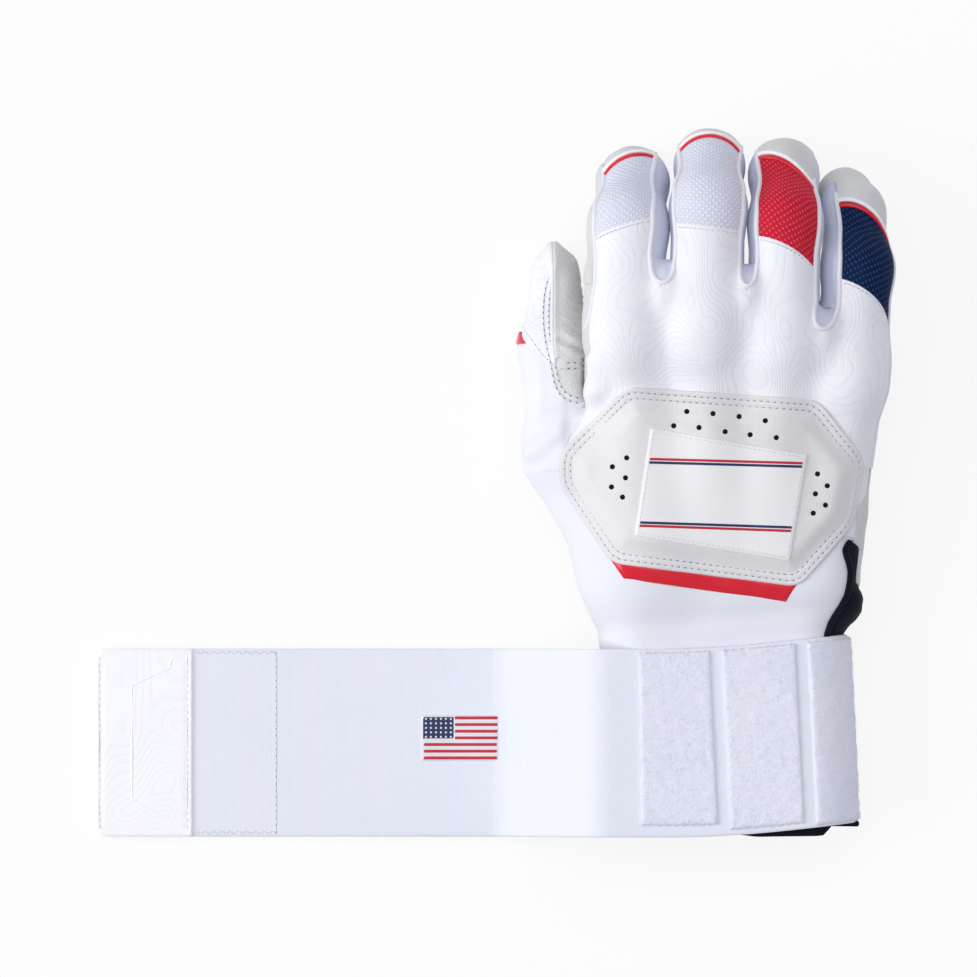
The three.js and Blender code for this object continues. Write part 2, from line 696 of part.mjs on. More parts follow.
const backForm = wholeForm;
const padRing = (scale, line) => line.map(([x, y]) =>
  drop(lerp(PAD_CENTRE[0], x, scale), lerp(PAD_CENTRE[1], y, scale), backForm));
const padPoints = padLine(8);
const padLow = LAYER_GAP + PAD_EASE;
const padTop = padLow + FOAM_THICK + LAYER_GAP + PAD_EASE;
const coverRings = [1, 0.92, 0.86, 0.72, 0.56, 0.4, 0.22, 0].map((scale) => padRing(scale, padPoints));
const coverLow = (p, r) => (r < 2 ? padLow : padTop);
const coverHigh = (p, r) => coverLow(p, r) + PAD_RIM_THICK;
const coverGrid = [{ grid: coverRings, form: backForm, closed: true }];
let cover = toSolid(sheet(coverGrid, coverLow, coverHigh));
for (const [x, y] of PERFORATIONS) {
  const hole = new THREE.CylinderGeometry(PERFORATION / 2, PERFORATION / 2, 9, 6);
  hole.rotateX(Math.PI / 2);
  const at = drop(x, y, backForm);
  const tilt = new THREE.Quaternion().setFromUnitVectors(point(0, 0, 1), normal(at, backForm));
  hole.applyQuaternion(tilt);
  const middle = at.addScaledVector(normal(at, backForm), padTop);
  hole.translate(middle.x, middle.y, middle.z);
  const keep = new THREE.BufferGeometry();
  keep.setAttribute("position", hole.getAttribute("position"));
  keep.setIndex(hole.index);
  const welded = weld(keep);
  cover = cover.subtract(toSolid(welded));
}
add("pad_cover", toGeometry(cover), "grey_leather");

// Joins the points of a geometry that lie at one place.
function weld(geometry) {
  const source = geometry.getAttribute("position");
  const found = new Map();
  const positions = [];
  const ids = [];
  for (let i = 0; i < source.count; i += 1) {
    const v = [source.getX(i), source.getY(i), source.getZ(i)];
    const key = v.map((n) => Math.round(n * 1000)).join(",");
    if (!found.has(key)) {
      found.set(key, positions.length / 3);
      positions.push(...v);
    }
    ids.push(found.get(key));
  }
  const welded = new THREE.BufferGeometry();
  welded.setAttribute("position", new THREE.Float32BufferAttribute(positions, 3));
  welded.setIndex(Array.from(geometry.index.array, (i) => ids[i]));
  return welded;
}

const foamRings = [0.83, 0.72, 0.56, 0.4, 0.22, 0].map((scale) => padRing(scale, padPoints));
const foamGrid = [{ grid: foamRings, form: backForm, closed: true }];
add("pad_foam", sheet(foamGrid, padLow, padLow + FOAM_THICK), "foam");

function quadGrid([a, b, c, d], columns, rows) {
  return steps(rows).map((v) => steps(columns).map((u) => {
    const x = lerp(lerp(a[0], b[0], u), lerp(d[0], c[0], u), v);
    const y = lerp(lerp(a[1], b[1], u), lerp(d[1], c[1], u), v);
    return drop(x, y, backForm);
  }));
}

const labelLow = padTop + PAD_RIM_THICK + LAYER_GAP + PAD_EASE;
const labelGrid = [{ grid: quadGrid(LABEL, 8, 6), form: backForm }];
add("label_patch", sheet(labelGrid, labelLow, labelLow + LABEL_THICK), "white_leather");
const accentGrid = [{ grid: quadGrid(ACCENT, 6, 1), form: backForm }];
add("pad_accent", sheet(accentGrid, padLow, padLow + ACCENT_THICK), "red_trim");

// Thumb: front and back of its tip, base patch, gusset and accent

const thumbForm = FORMS.thumb;
const thumbRow = (angles, s) => digitRow(THUMB, thumbForm, angles, s);
const THUMB_SEAM = 6;
const BACK_REACH = -152;
const FRONT_REACH = 206;
const GUSSET_REACH = -165;
const backAngles = steps(6, BACK_REACH, THUMB_SEAM - 1);
const frontAngles = steps(7, THUMB_SEAM + 1, FRONT_REACH);
// Lower edge of the back leather: level on the outer side, and straight from there as seen from above.
const edgeAt = (angle) => lerp(2.3, 1.82, (Math.sin(degrees(Math.max(angle, -90))) + 1) / 1.087);
const backEdge = (t) => edgeAt(lerp(BACK_REACH, THUMB_SEAM - 1, t));
const frontEdge = (t) => lerp(1.86, 2.29, THREE.MathUtils.smoothstep(t, 0.6, 1));

function thumbHalf(angles, rule) {
  const rows = [rule, (t) => lerp(rule(t), 3, 0.35), (t) => lerp(rule(t), 3, 0.7), 3, 3.35, 3.7, 3.9];
  const grid = rows.map((s) => thumbRow(angles, s));
  grid.push(angles.map(() => onDigit(THUMB, thumbForm, 4, 0)));
  return [{ grid, form: thumbForm }];
}

// The front leather leaves a small gap to the back leather over the tip.
function trimTip(patches, reach) {
  const { grid, form } = patches[0];
  grid[grid.length - 1] = thumbRow(reach, 3.96);
  return [{ grid, form }];
}

add("thumb_back", sheet(trimTip(thumbHalf(backAngles, backEdge), backAngles), ...SKIN), "white_leather");
add("thumb_front", sheet(trimTip(thumbHalf(frontAngles, frontEdge), frontAngles), ...SKIN), "palm_leather");

const BASE_LOW = 1.46;
const baseAngles = steps(6, THUMB_SEAM + 1, 124);
const baseTop = (t) => frontEdge(t * 0.588) - 0.05;
const baseLow = between([BASE_LOW + 0.02, BASE_LOW + 0.3]);
const baseGrid = steps(3).map((f) => thumbRow(baseAngles, (t) => lerp(baseLow(t), baseTop(t), f)));
add("thumb_base_patch", sheet([{ grid: baseGrid, form: thumbForm }], ...SKIN), "palm_leather");

const gussetAngles = steps(6, GUSSET_REACH, THUMB_SEAM - 1);
const webAngles = steps(3, THUMB_SEAM - 1, 38);
const gussetTop = (t) => edgeAt(lerp(GUSSET_REACH, THUMB_SEAM - 1, t)) - 0.05;
const seamY = BACK_SEAM_Y + half;
const seamRow = across(around(seamY, 198), drop(-54, seamY, wholeForm), 9, drop, wholeForm);
const gussetMid = [...thumbRow(gussetAngles, BASE_LOW), ...thumbRow(webAngles, BASE_LOW).slice(1)];
const lowGrid = ruled([seamRow, gussetMid], [4], thumbForm);
const highGrid = steps(3).map((f) => thumbRow(gussetAngles, (t) => lerp(BASE_LOW, gussetTop(t), f)));
const thumbGusset = [{ grid: lowGrid, form: thumbForm }, { grid: highGrid, form: thumbForm }];
add("thumb_gusset", sheet(thumbGusset, ...KNIT), "white_knit");

const accentAngles = steps(2, -118, -66);
const thumbAccent = [thumbRow(accentAngles, 2.1), thumbRow(accentAngles, between([2.23, 2.2]))];
add("thumb_accent", sheet([{ grid: thumbAccent, form: thumbForm }], onSkin, onSkin + 1), "red_trim");

// Wrist strap: the part sewn round the wrist, with three loop panels, and the loose part

const strapForm = handForm;
const strapLow = STRAP_FIT;
const strapHigh = STRAP_FIT + STRAP_THICK;
const strapY = [-STRAP_HALF, 0, STRAP_HALF];
const skewTop = 3.4;

// The strap climbs a little towards the fingers where it turns round the little-finger edge.
function strapSkew(x) {
  return skewTop * THREE.MathUtils.smoothstep(x, -10, 40);
}

const topZ = WRIST_Z + WRIST_RADIUS;
const underX = -12;
const strapPath = [
  point(underX, 0, WRIST_Z - WRIST_RADIUS),
  point(5, 0, WRIST_Z - WRIST_RADIUS),
  ...steps(10, -90, 90).map((a) => {
    const x = CUFF_RIGHT + WRIST_RADIUS * Math.cos(degrees(a));
    return point(x, 0, WRIST_Z + WRIST_RADIUS * Math.sin(degrees(a)));
  }),
  point(0, 0, topZ),
  point(CUFF_LEFT, 0, topZ),
];
const strapGrid = strapPath.map((p) => strapY.map((y) => {
  const turned = p.z < WRIST_Z ? (p.z - WRIST_Z + WRIST_RADIUS) / WRIST_RADIUS : 1;
  return snap(point(p.x, y + turned * strapSkew(p.x), p.z), strapForm);
}));
const strapTopZ = topZ + strapHigh;
const foldZ = topZ + strapLow;

function slab(x0, x1, y0, y1, z0, z1) {
  const box = new THREE.BoxGeometry(x1 - x0, y1 - y0, z1 - z0);
  return box.translate((x0 + x1) / 2, (y0 + y1) / 2, (z0 + z1) / 2);
}

const wrap = toSolid(sheet([{ grid: strapGrid, form: strapForm }], strapLow, strapHigh));
const ledge = slab(STRAP_FOLD_X + FOLD_GAP, CUFF_LEFT + 4, -STRAP_HALF, STRAP_HALF, foldZ, strapTopZ);
ledge.deleteAttribute("normal");
ledge.deleteAttribute("uv");
add("strap_base", toGeometry(wrap.add(toSolid(weld(ledge)))), "elastic");

const LOOPS = { loop_panel_a: [-33, -8.8], loop_panel_b: [-5.4, 19.6], loop_panel_c: [23.4, 0] };
const loopLow = strapHigh + LAYER_GAP;
for (const [name, [from, to]] of Object.entries(LOOPS)) {
  const flat = steps(3, from, to).map((x) => point(x, 0, topZ));
  const turn = steps(7, 86, -24).map((a) => {
    const x = CUFF_RIGHT + WRIST_RADIUS * Math.cos(degrees(a));
    return point(x, 0, WRIST_Z + WRIST_RADIUS * Math.sin(degrees(a)));
  });
  const path = name === "loop_panel_c" ? turn : flat;
  const rows = [-STRAP_HALF + LOOP_INSET, STRAP_HALF - LOOP_INSET];
  const grid = path.map((p) => rows.map((y) => snap(point(p.x, y + strapSkew(p.x), p.z), strapForm)));
  add(name, sheet([{ grid, form: strapForm }], loopLow, loopLow + LOOP_THICK), "loop");
}

// The loose part slopes down beside the wrist and lies flat to its end tab.
const flatLow = HOOK_THICK + LAYER_GAP;
const fall = foldZ - flatLow;
const run = STRAP_FOLD_X - STRAP_LAND_X;
const slope = Math.atan2(fall, run);
const sideLength = Math.hypot(fall, run);
const side = slab(LAND_GAP - sideLength, -FOLD_GAP, -STRAP_HALF, STRAP_HALF, 0, STRAP_THICK);
side.rotateY(-slope);
side.translate(STRAP_FOLD_X, 0, foldZ);
add("strap_side", side, "elastic");
const looseEnd = STRAP_LAND_X - LAND_GAP;
const loose = slab(TAB_SEAM_X + FOLD_GAP, looseEnd, -STRAP_HALF, STRAP_HALF, flatLow, flatLow + STRAP_THICK);
add("strap_loose", loose, "elastic");

function plate(x0, x1, halfWidth, corner, z, thick) {
  const shape = new THREE.Shape();
  shape.moveTo(x1, -halfWidth);
  shape.lineTo(x1, halfWidth);
  shape.lineTo(x0 + corner, halfWidth);
  shape.absarc(x0 + corner, halfWidth - corner, corner, Math.PI / 2, Math.PI, false);
  shape.lineTo(x0, -halfWidth + corner);
  shape.absarc(x0 + corner, -halfWidth + corner, corner, Math.PI, 1.5 * Math.PI, false);
  const made = new THREE.ExtrudeGeometry(shape, { depth: thick, bevelEnabled: false, curveSegments: 5 });
  return made.translate(0, 0, z);
}

const tab = plate(TAB_END_X, TAB_SEAM_X - FOLD_GAP, STRAP_HALF, TAB_CORNER, flatLow, TAB_THICK);
add("strap_tab", tab, "white_leather");
const hookHalf = STRAP_HALF - HOOK_INSET;
const tabHook = plate(TAB_END_X + HOOK_INSET, TAB_SEAM_X - HOOK_INSET, hookHalf, 2, 0, HOOK_THICK);
add("hook_tab", tabHook, "hook");
const stripX = TAB_SEAM_X + HOOK_INSET;
const hookStrip = slab(stripX, stripX + HOOK_STRIP_LENGTH, -hookHalf, hookHalf, 0, HOOK_THICK);
add("hook_strip", hookStrip, "hook");
const flagLow = flatLow + STRAP_THICK + LAYER_GAP;
const flagX = FLAG_X - FLAG_LENGTH / 2;
const flagY = FLAG_Y - FLAG_HEIGHT / 2;
const flag = slab(flagX, flagX + FLAG_LENGTH, flagY, flagY + FLAG_HEIGHT, flagLow, flagLow + FLAG_THICK);
add("flag_patch", flag, "white_knit");

export default glove;
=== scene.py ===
"""Looks of a batting glove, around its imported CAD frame.

A glove is sewn from sheets over a hand, so most pieces are sheets over one implicit form of the
hand, with the bones, radii and blends of the CAD model, in millimetres: X to the little finger, Y to
the fingertips, Z up.
"""

import json
import logging
import math
from collections.abc import Callable, Sequence
from dataclasses import dataclass
from enum import Enum

import bpy
import numpy as np
from bpy.types import Node, NodeSocket, NodeTree, Object
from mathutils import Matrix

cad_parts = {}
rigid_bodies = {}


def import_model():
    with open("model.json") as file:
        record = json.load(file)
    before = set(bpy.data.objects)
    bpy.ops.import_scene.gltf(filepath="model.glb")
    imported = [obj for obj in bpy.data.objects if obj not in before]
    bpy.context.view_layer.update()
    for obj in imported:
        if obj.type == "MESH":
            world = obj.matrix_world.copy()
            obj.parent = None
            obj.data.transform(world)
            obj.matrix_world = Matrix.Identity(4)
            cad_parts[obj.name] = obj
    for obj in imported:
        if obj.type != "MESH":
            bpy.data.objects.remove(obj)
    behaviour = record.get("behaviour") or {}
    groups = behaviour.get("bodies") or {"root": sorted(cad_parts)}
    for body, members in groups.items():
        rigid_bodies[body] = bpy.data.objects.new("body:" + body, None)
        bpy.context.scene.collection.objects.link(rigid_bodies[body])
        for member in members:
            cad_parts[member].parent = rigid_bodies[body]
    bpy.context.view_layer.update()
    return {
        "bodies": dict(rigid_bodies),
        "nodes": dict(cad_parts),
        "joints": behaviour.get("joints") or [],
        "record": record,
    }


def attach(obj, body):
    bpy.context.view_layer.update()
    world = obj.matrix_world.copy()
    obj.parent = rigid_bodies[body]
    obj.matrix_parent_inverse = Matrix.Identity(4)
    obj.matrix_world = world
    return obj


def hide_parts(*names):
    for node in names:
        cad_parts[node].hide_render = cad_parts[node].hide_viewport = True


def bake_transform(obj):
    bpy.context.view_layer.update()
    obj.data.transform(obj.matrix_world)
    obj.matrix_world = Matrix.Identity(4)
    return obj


LOG = logging.getLogger("glove")
MM = 0.001
Points = np.ndarray
Form = Callable[[Points], Points]
Bone = tuple[float, float, float, float]
Colour = tuple[float, float, float, float]
Row = tuple[float, ...]
Corners = tuple[tuple[float, float], ...]


def lerp(a: Points | float, b: Points | float, t: Points | float) -> Points | float:
    """Mixes two values, b's share being t."""
    return a + (b - a) * t


def ramp(x: Points, low: float, high: float) -> Points:
    """Rises from 0 at low to 1 at high, as 3t2 - 2t3."""
    t = np.clip((np.asarray(x, float) - low) / (high - low), 0, 1)
    return t * t * (3 - 2 * t)


def bell(x: Points, at: Points | float, width: float) -> Points:
    """Falls from 1 at a place to 1/e at a width from it, as exp(-t2)."""
    return np.exp(-(((x - at) / width) ** 2))


def unit(v: Points) -> Points:
    """Vectors at length 1."""
    return v / np.maximum(np.linalg.norm(v, axis=-1, keepdims=True), 1e-9)


def bone_distance(p: Points, a: Bone, b: Bone) -> Points:
    """Distance to a segment from a to b, less a radius that changes along it.

    Args:
        p: Points in mm.
        a: The bone's start and its radius there.
        b: Its end and its radius there.

    Returns:
        A distance for each point, negative inside.
    """
    start, along = np.array(a[:3]), np.subtract(b[:3], a[:3])
    out = p - start
    h = np.clip(out @ along / (along @ along), 0, 1)
    return np.linalg.norm(out - h[..., None] * along, axis=-1) - lerp(a[3], b[3], h)


def smooth_min(a: Points, b: Points, k: float) -> Points:
    """The smaller of two distances, rounded off by k where they meet."""
    h = np.maximum(k - np.abs(a - b), 0) / k
    return np.minimum(a, b) - h * h * k * 0.25


def gradient(p: Points, form: Form, step: float = 0.05) -> Points:
    """Outward unit normals of a form, from differences on both sides."""
    moves = np.eye(3) * step
    return unit(np.stack([form(p + m) - form(p - m) for m in moves], -1))


def snap(p: Points, form: Form, rounds: int = 7) -> Points:
    """Moves points to the form along its normals.

    Args:
        p: Points in mm.
        form: Distance to the form.
        rounds: How often they move.

    Returns:
        The moved points.
    """
    for _ in range(rounds):
        p = p - gradient(p, form) * form(p)[..., None]
    return p


def cast(origin: Points, direction: Points, form: Form, rounds: int = 60) -> Points:
    """Follows rays until they meet the form, from inside or from outside.

    Args:
        origin: Where the rays start.
        direction: Their unit directions.
        form: Distance to the form that they meet.
        rounds: How many steps they take.

    Returns:
        The points where they meet it.
    """
    p = np.array(np.broadcast_arrays(origin, direction)[0], float)
    sign = np.where(form(p) < 0, -0.9, 0.9)
    for _ in range(rounds):
        p = p + direction * (sign * form(p))[..., None]
    return p


def place(x: Points, y: Points, z: float = 0.0) -> Points:
    """Points from two arrays and a height."""
    x, y = np.broadcast_arrays(np.asarray(x, float), np.asarray(y, float))
    return np.stack([x, y, np.full(x.shape, float(z))], -1)


def drop(at: Points, form: Form) -> Points:
    """The form's upper side over places, by rays straight down."""
    return cast(place(at[..., 0], at[..., 1], 95), np.array([0, 0, -1.0]), form)


def rise(at: Points, form: Form) -> Points:
    """The form's under side below places, by rays straight up."""
    return cast(place(at[..., 0], at[..., 1], -30), np.array([0, 0, 1.0]), form)


@dataclass(frozen=True)
class Digit:
    """A finger or the thumb: its joints from the wrist to the tip, and the edges of its panels.

    Angles are seen from the wrist, from straight up towards the little finger. A place along the
    digit is s: the joints are at whole numbers, and the last unit turns over the tip. back and palm
    are the angles of those panels' sides, web the s of the webs beside it, and mesh and strip the s
    of the mesh's lower and upper seam on one side, in the middle and on the other.
    """

    name: str
    joints: tuple[Bone, ...]
    back: tuple[float, float] = (0, 0)
    palm: tuple[float, float] = (0, 0)
    web: tuple[float, float] = (0, 0)
    mesh: tuple[float, float, float] = (0, 0, 0)
    strip: tuple[float, float, float] = (0, 0, 0)
    root_blend: float = 6.0
    joint_blend: float = 5.0

    def chain(self, p: Points) -> Points:
        """Distance to the digit beyond its first joint.

        Args:
            p: Points in mm.

        Returns:
            A distance for each point.
        """
        d = bone_distance(p, self.joints[1], self.joints[2])
        for a, b in zip(self.joints[2:], self.joints[3:]):
            d = smooth_min(d, bone_distance(p, a, b), self.joint_blend)
        return d

    def frames(self, s: Points) -> tuple[Points, Points, Points, Points]:
        """Frames along the spine, whose pitch changes evenly between joints.

        Args:
            s: Places along the digit.

        Returns:
            Places, sides, tangents and ups.
        """
        joints = np.array(self.joints)
        last = len(joints) - 1
        k = np.clip(np.floor(s).astype(int), 0, last - 1)
        f = np.minimum(s - k, 1.0)
        steps = np.diff(joints[:, :3], axis=0)
        pitch = np.arctan2(steps[:, 2], np.hypot(steps[:, 0], steps[:, 1]))
        pitch = np.concatenate([pitch[:1], pitch, pitch[-1:]])
        pitch = (pitch[1:] + pitch[:-1]) / 2
        turn = lerp(pitch[k], pitch[k + 1], f)[..., None]
        run = (joints[last] - joints[1])[:3] * (1, 1, 0)
        run = unit(run)
        side = np.array([run[1], -run[0], 0.0])
        tangent = run * np.cos(turn) + np.array([0, 0, 1.0]) * np.sin(turn)
        at = lerp(joints[k, :3], joints[k + 1, :3], f[..., None])
        return at, side, tangent, np.cross(side, tangent)

    def on(self, s: Points, angle: Points, form: Form) -> Points:
        """Points on the digit: rays from the spine, which lean over past the tip.

        Args:
            s: Places along the digit.
            angle: Angles round it, in degrees.
            form: The form that the rays meet.

        Returns:
            The points where they meet it.
        """
        s, angle = np.broadcast_arrays(np.asarray(s, float), np.asarray(angle, float))
        at, side, tangent, up = self.frames(s)
        a = np.radians(angle)[..., None]
        over = np.radians(90) * np.maximum(0, s - (len(self.joints) - 1))[..., None]
        out = (up * np.cos(a) + side * np.sin(a)) * np.cos(over) + tangent * np.sin(over)
        return cast(at, out, form)

    def in_s(self, bone: int, mm: float) -> float:
        """A length in mm on one bone, in s."""
        return mm / float(np.linalg.norm(np.subtract(self.joints[bone + 1][:3], self.joints[bone][:3])))


FINGERS = (
    Digit(
        "index",
        (
            (-25, 56, 22, 13.2), (-38.2, 136, 45, 13), (-36.8, 174, 42, 12.5),
            (-35.2, 188.8, 22, 11), (-35, 189.8, 9.8, 9.8),
        ),
        (-58, 31), (125, 301), (1.4, 1.62), (1.82, 1.86, 1.95), (2.72, 2.82, 2.9),
    ),
    Digit(
        "middle",
        (
            (-8, 56, 22.5, 13.2), (-11.3, 138, 47.5, 13), (-10.3, 180, 44, 12.3),
            (-9.8, 194.8, 22, 11), (-9.7, 195.8, 9.8, 9.8),
        ),
        (-56, 56), (125, 235), (1.5, 1.48), (1.81, 1.75, 1.77), (2.83, 2.86, 2.83),
    ),
    Digit(
        "ring",
        (
            (10, 56, 22.5, 13.2), (14.3, 134, 45, 12.8), (15.7, 175, 43, 11.9),
            (15.2, 191.5, 26, 11), (14.6, 193, 9.8, 9.8),
        ),
        (-46, 56), (125, 235), (1.58, 1.3), (1.83, 1.74, 1.6), (2.83, 2.64, 2.38),
    ),
    Digit(
        "little",
        (
            (27, 56, 22, 13.2), (37, 122, 39, 12.2), (39.7, 160, 37, 11.2),
            (38.0, 178.5, 26, 10.3), (36.0, 184.5, 9.3, 9.3),
        ),
        (-26, 93), (98, 235), (1.55, 1.4), (1.85, 1.71, 1.47), (2.72, 2.62, 2.36),
    ),
)
THUMB = Digit(
    "thumb",
    ((-38.6, 61, 20, 14.2), (-57.6, 98, 20, 14), (-61.4, 132, 16, 11.0), (-61.7, 159.0, 8.4, 7.8)),
    root_blend=8.0,
    joint_blend=8.0,
)


# The lowest places of the three notches in the back and in the palm.
NOTCHES = ((-26.2, 154.8), (2.7, 153.4), (27.3, 139.2))
PALM_NOTCHES = ((-26.4, 149.0), (3.0, 148.0), (27.0, 133.0))


@dataclass(frozen=True)
class HandForm:
    """The hand inside the glove: a flat cuff with round sides, the rays of the hand, and the digits."""

    cuff_left: float = -32
    cuff_right: float = 22.5
    cuff_radius: float = 14
    cuff_z: float = 16.5
    cuff_lean: float = 0.05
    ray_blend: float = 13
    cuff_blend: float = 9
    thumb_blend: float = 22
    bridge_width: float = 8
    bridge_height: float = 2.5
    bridge_reach: float = 8

    def lean(self, y: Points) -> Points:
        """How far the wrist's little-finger side comes in at y, as it narrows towards the hand."""
        return self.cuff_lean * np.clip(np.asarray(y, float) + 8, -20, 45)

    def cuff(self, p: Points) -> Points:
        """Distance to a flat slab that is as thick as it is round at its sides.

        Args:
            p: Points in mm.

        Returns:
            A distance for each point.
        """
        x = p[..., 0] - np.clip(p[..., 0], self.cuff_left, self.cuff_right - self.lean(p[..., 1]))
        y = p[..., 1] - np.clip(p[..., 1], -90, 50)
        return np.sqrt(x * x + y * y + (p[..., 2] - self.cuff_z) ** 2) - self.cuff_radius

    def hand(self, p: Points) -> Points:
        """Distance to the hand without its digits: the cuff, four rays and the ball of the thumb.

        Args:
            p: Points in mm.

        Returns:
            A distance for each point.
        """
        rays = None
        for finger in FINGERS:
            knuckle, middle = finger.joints[1], finger.joints[2]
            end = (*lerp(np.array(knuckle[:3]), np.array(middle[:3]), 0.16), knuckle[3] - 0.9)
            ray = bone_distance(p, finger.joints[0], end)
            rays = ray if rays is None else smooth_min(rays, ray, self.ray_blend)
        d = smooth_min(self.cuff(p), rays, self.cuff_blend)
        return smooth_min(d, bone_distance(p, THUMB.joints[0], THUMB.joints[1]), self.thumb_blend)

    def with_digit(self, digit: Digit) -> Form:
        """The hand with one of its digits."""
        return lambda p: smooth_min(self.hand(p), digit.chain(p), digit.root_blend)

    def whole(self, p: Points) -> Points:
        """The hand with all its digits, which are not rounded off between each other."""
        hand = self.hand(p)
        return np.min([smooth_min(hand, d.chain(p), d.root_blend) for d in (*FINGERS, THUMB)], axis=0)

    def bridged(self, p: Points) -> Points:
        """The hand and its fingers, with the valleys between them filled near the notches.

        Each fill is a bell round its notch, times a bell of how nearly level the two fingers are.

        Args:
            p: Points in mm.

        Returns:
            A distance for each point.
        """
        fill = np.zeros(p.shape[:-1])
        for left, right, notch in zip(FINGERS, FINGERS[1:], NOTCHES):
            level = bell(left.chain(p), right.chain(p), self.bridge_width)
            away = ((p[..., :2] - np.array(notch)) ** 2).sum(-1) / self.bridge_reach**2
            fill = fill + self.bridge_height * level * np.exp(-away)
        rays = FINGERS[0].chain(p)
        for finger in FINGERS[1:]:
            rays = smooth_min(rays, finger.chain(p), self.bridge_width)
        return smooth_min(self.hand(p), rays, FINGERS[0].root_blend) - fill

    def around(self, y: Points, angle: Points, form: Form | None = None) -> Points:
        """Points of the section at y, by rays from its middle.

        Args:
            y: Places along the hand.
            angle: Angles in degrees: 0 to the little finger and 90 up.
            form: The form that the rays meet, or the whole hand.

        Returns:
            The points where they meet it.
        """
        y, angle = np.broadcast_arrays(np.asarray(y, float), np.radians(angle))
        centre = place(-4 - np.maximum(0, y - 40) * 0.06, y)
        centre[..., 2] = self.cuff_z + np.maximum(0, y - 50) * 0.26
        ray = unit(np.stack([2 * np.cos(angle), np.zeros(y.shape), np.sin(angle)], -1))
        return cast(centre, ray, form or self.whole)


HAND = HandForm()


# Sheets, tubes and stitches


@dataclass
class Patch:
    """A grid of points that lie on a form, or have their own normals.

    closed joins its last column to its first.
    """

    points: Points
    form: Form | None = None
    closed: bool = False
    normals: Points | None = None

    def outward(self) -> Points:
        """The normals of its points."""
        return gradient(self.points, self.form) if self.normals is None else self.normals


@dataclass
class Solid:
    """Vertices in mm, faces as lists of vertex numbers, and a flat map of the vertices in mm.

    tones says which of its piece's finishes each face has.
    """

    vertices: Points
    faces: list[list[int]]
    flat: Points | None = None
    tones: Points | None = None


def arc_map(points: Points) -> Points:
    """A grid's flat map: lengths along its rows from their middle, and along its columns.

    Args:
        points: Rows of points.

    Returns:
        Two lengths for each point.
    """
    across = np.linalg.norm(np.diff(points, axis=1), axis=-1).cumsum(axis=1)
    across = np.concatenate([np.zeros((len(points), 1)), across], axis=1)
    along = np.linalg.norm(np.diff(points, axis=0), axis=-1).cumsum(axis=0)
    along = np.concatenate([np.zeros((1, points.shape[1])), along], axis=0)
    return np.stack([across - across[:, -1:] / 2, along], -1)


class Sheet:
    """Grids that are joined where they share points, with normals and distances to the edge."""

    def __init__(self, *patches: Patch) -> None:
        """Joins patches where they share points.

        Args:
            *patches: Grids, which may share edges.
        """
        flat = np.concatenate([p.points.reshape(-1, 3) for p in patches])
        keys = np.round(flat * 50).astype(np.int64)
        _, first, ids = np.unique(keys, axis=0, return_index=True, return_inverse=True)
        ids = ids.reshape(-1)
        self.points = flat[first]
        normals = np.concatenate([p.outward().reshape(-1, 3) for p in patches])
        self.normals = normals[first]
        maps = np.concatenate([arc_map(p.points).reshape(-1, 2) for p in patches])
        self.flat = maps[first]
        quads, start = [], 0
        for p in patches:
            rows, columns = p.points.shape[:2]
            grid = ids[start : start + rows * columns].reshape(rows, columns)
            start += rows * columns
            quads.append(self._quads(np.concatenate([grid, grid[:, :1]], axis=1) if p.closed else grid))
        quads = np.concatenate(quads)
        self.quads = quads[(quads[:, 0] != quads[:, 3]) | (quads[:, 1] != quads[:, 2])]
        self._find_edges()

    def _quads(self, grid: Points) -> Points:
        """Faces of a grid, turned so that they face out of the form.

        Args:
            grid: Numbers of its points.

        Returns:
            Four numbers for each face.
        """
        quads = np.stack([grid[:-1, :-1], grid[:-1, 1:], grid[1:, 1:], grid[1:, :-1]], -1).reshape(-1, 4)
        a, b, c, d = (self.points[quads[:, i]] for i in range(4))
        facing = (np.cross(c - a, d - b) * self.normals[quads].sum(axis=1)).sum()
        return quads if facing > 0 else quads[:, ::-1]

    def _find_edges(self) -> None:
        """Edges that one face has, and each point's distance to the nearest of them."""
        pairs = np.stack([self.quads, np.roll(self.quads, -1, axis=1)], -1).reshape(-1, 2)
        pairs = pairs[pairs[:, 0] != pairs[:, 1]]
        keys = np.sort(pairs, axis=1)
        _, where, uses = np.unique(keys, axis=0, return_inverse=True, return_counts=True)
        self.rim = pairs[uses[where.reshape(-1)] == 1]
        self.inset = line_distance(self.points, self.points[self.rim[:, 0]], self.points[self.rim[:, 1]])

    def declare(self) -> None:
        """Works out the width, length and area of the sheet's flat cut, and keeps none of them.
        """
        a, b, c, d = (self.points[self.quads[:, i]] for i in range(4))
        area = float(np.linalg.norm(np.cross(c - a, d - b), axis=-1).sum() / 2)
        width, length = np.ptp(self.flat, axis=0)
        length = max(length, area / width / 0.95)

    def inside(self, reach: float) -> Points:
        """Rises evenly from 0 at the sheet's edge to 1 at a distance from it."""
        return np.minimum(self.inset / reach, 1)

    def rolled(self, height: Points | float, radius: float, sink: float) -> Points:
        """A height that falls off at the sheet's edge along a quarter circle."""
        t = 1 - np.minimum(self.inset / radius, 1)
        return height - sink * (1 - np.sqrt(1 - t * t))

    def solid(self, low: Points | float, high: Points | float) -> Solid:
        """The closed sheet between two heights over the form, walled along its edge.

        Args:
            low: Height of its inner face.
            high: Height of its outer face.

        Returns:
            The solid, with the sheet's flat map on both faces.
        """
        count = len(self.points)
        low, high = np.broadcast_to(low, count)[:, None], np.broadcast_to(high, count)[:, None]
        vertices = np.concatenate([self.points + self.normals * high, self.points + self.normals * low])
        a, b = self.rim[:, 0], self.rim[:, 1]
        walls = np.stack([b, a, a + count, b + count], -1)
        faces = np.concatenate([self.quads, self.quads[:, ::-1] + count, walls])
        return Solid(vertices, clean_faces(faces), np.concatenate([self.flat, self.flat]))


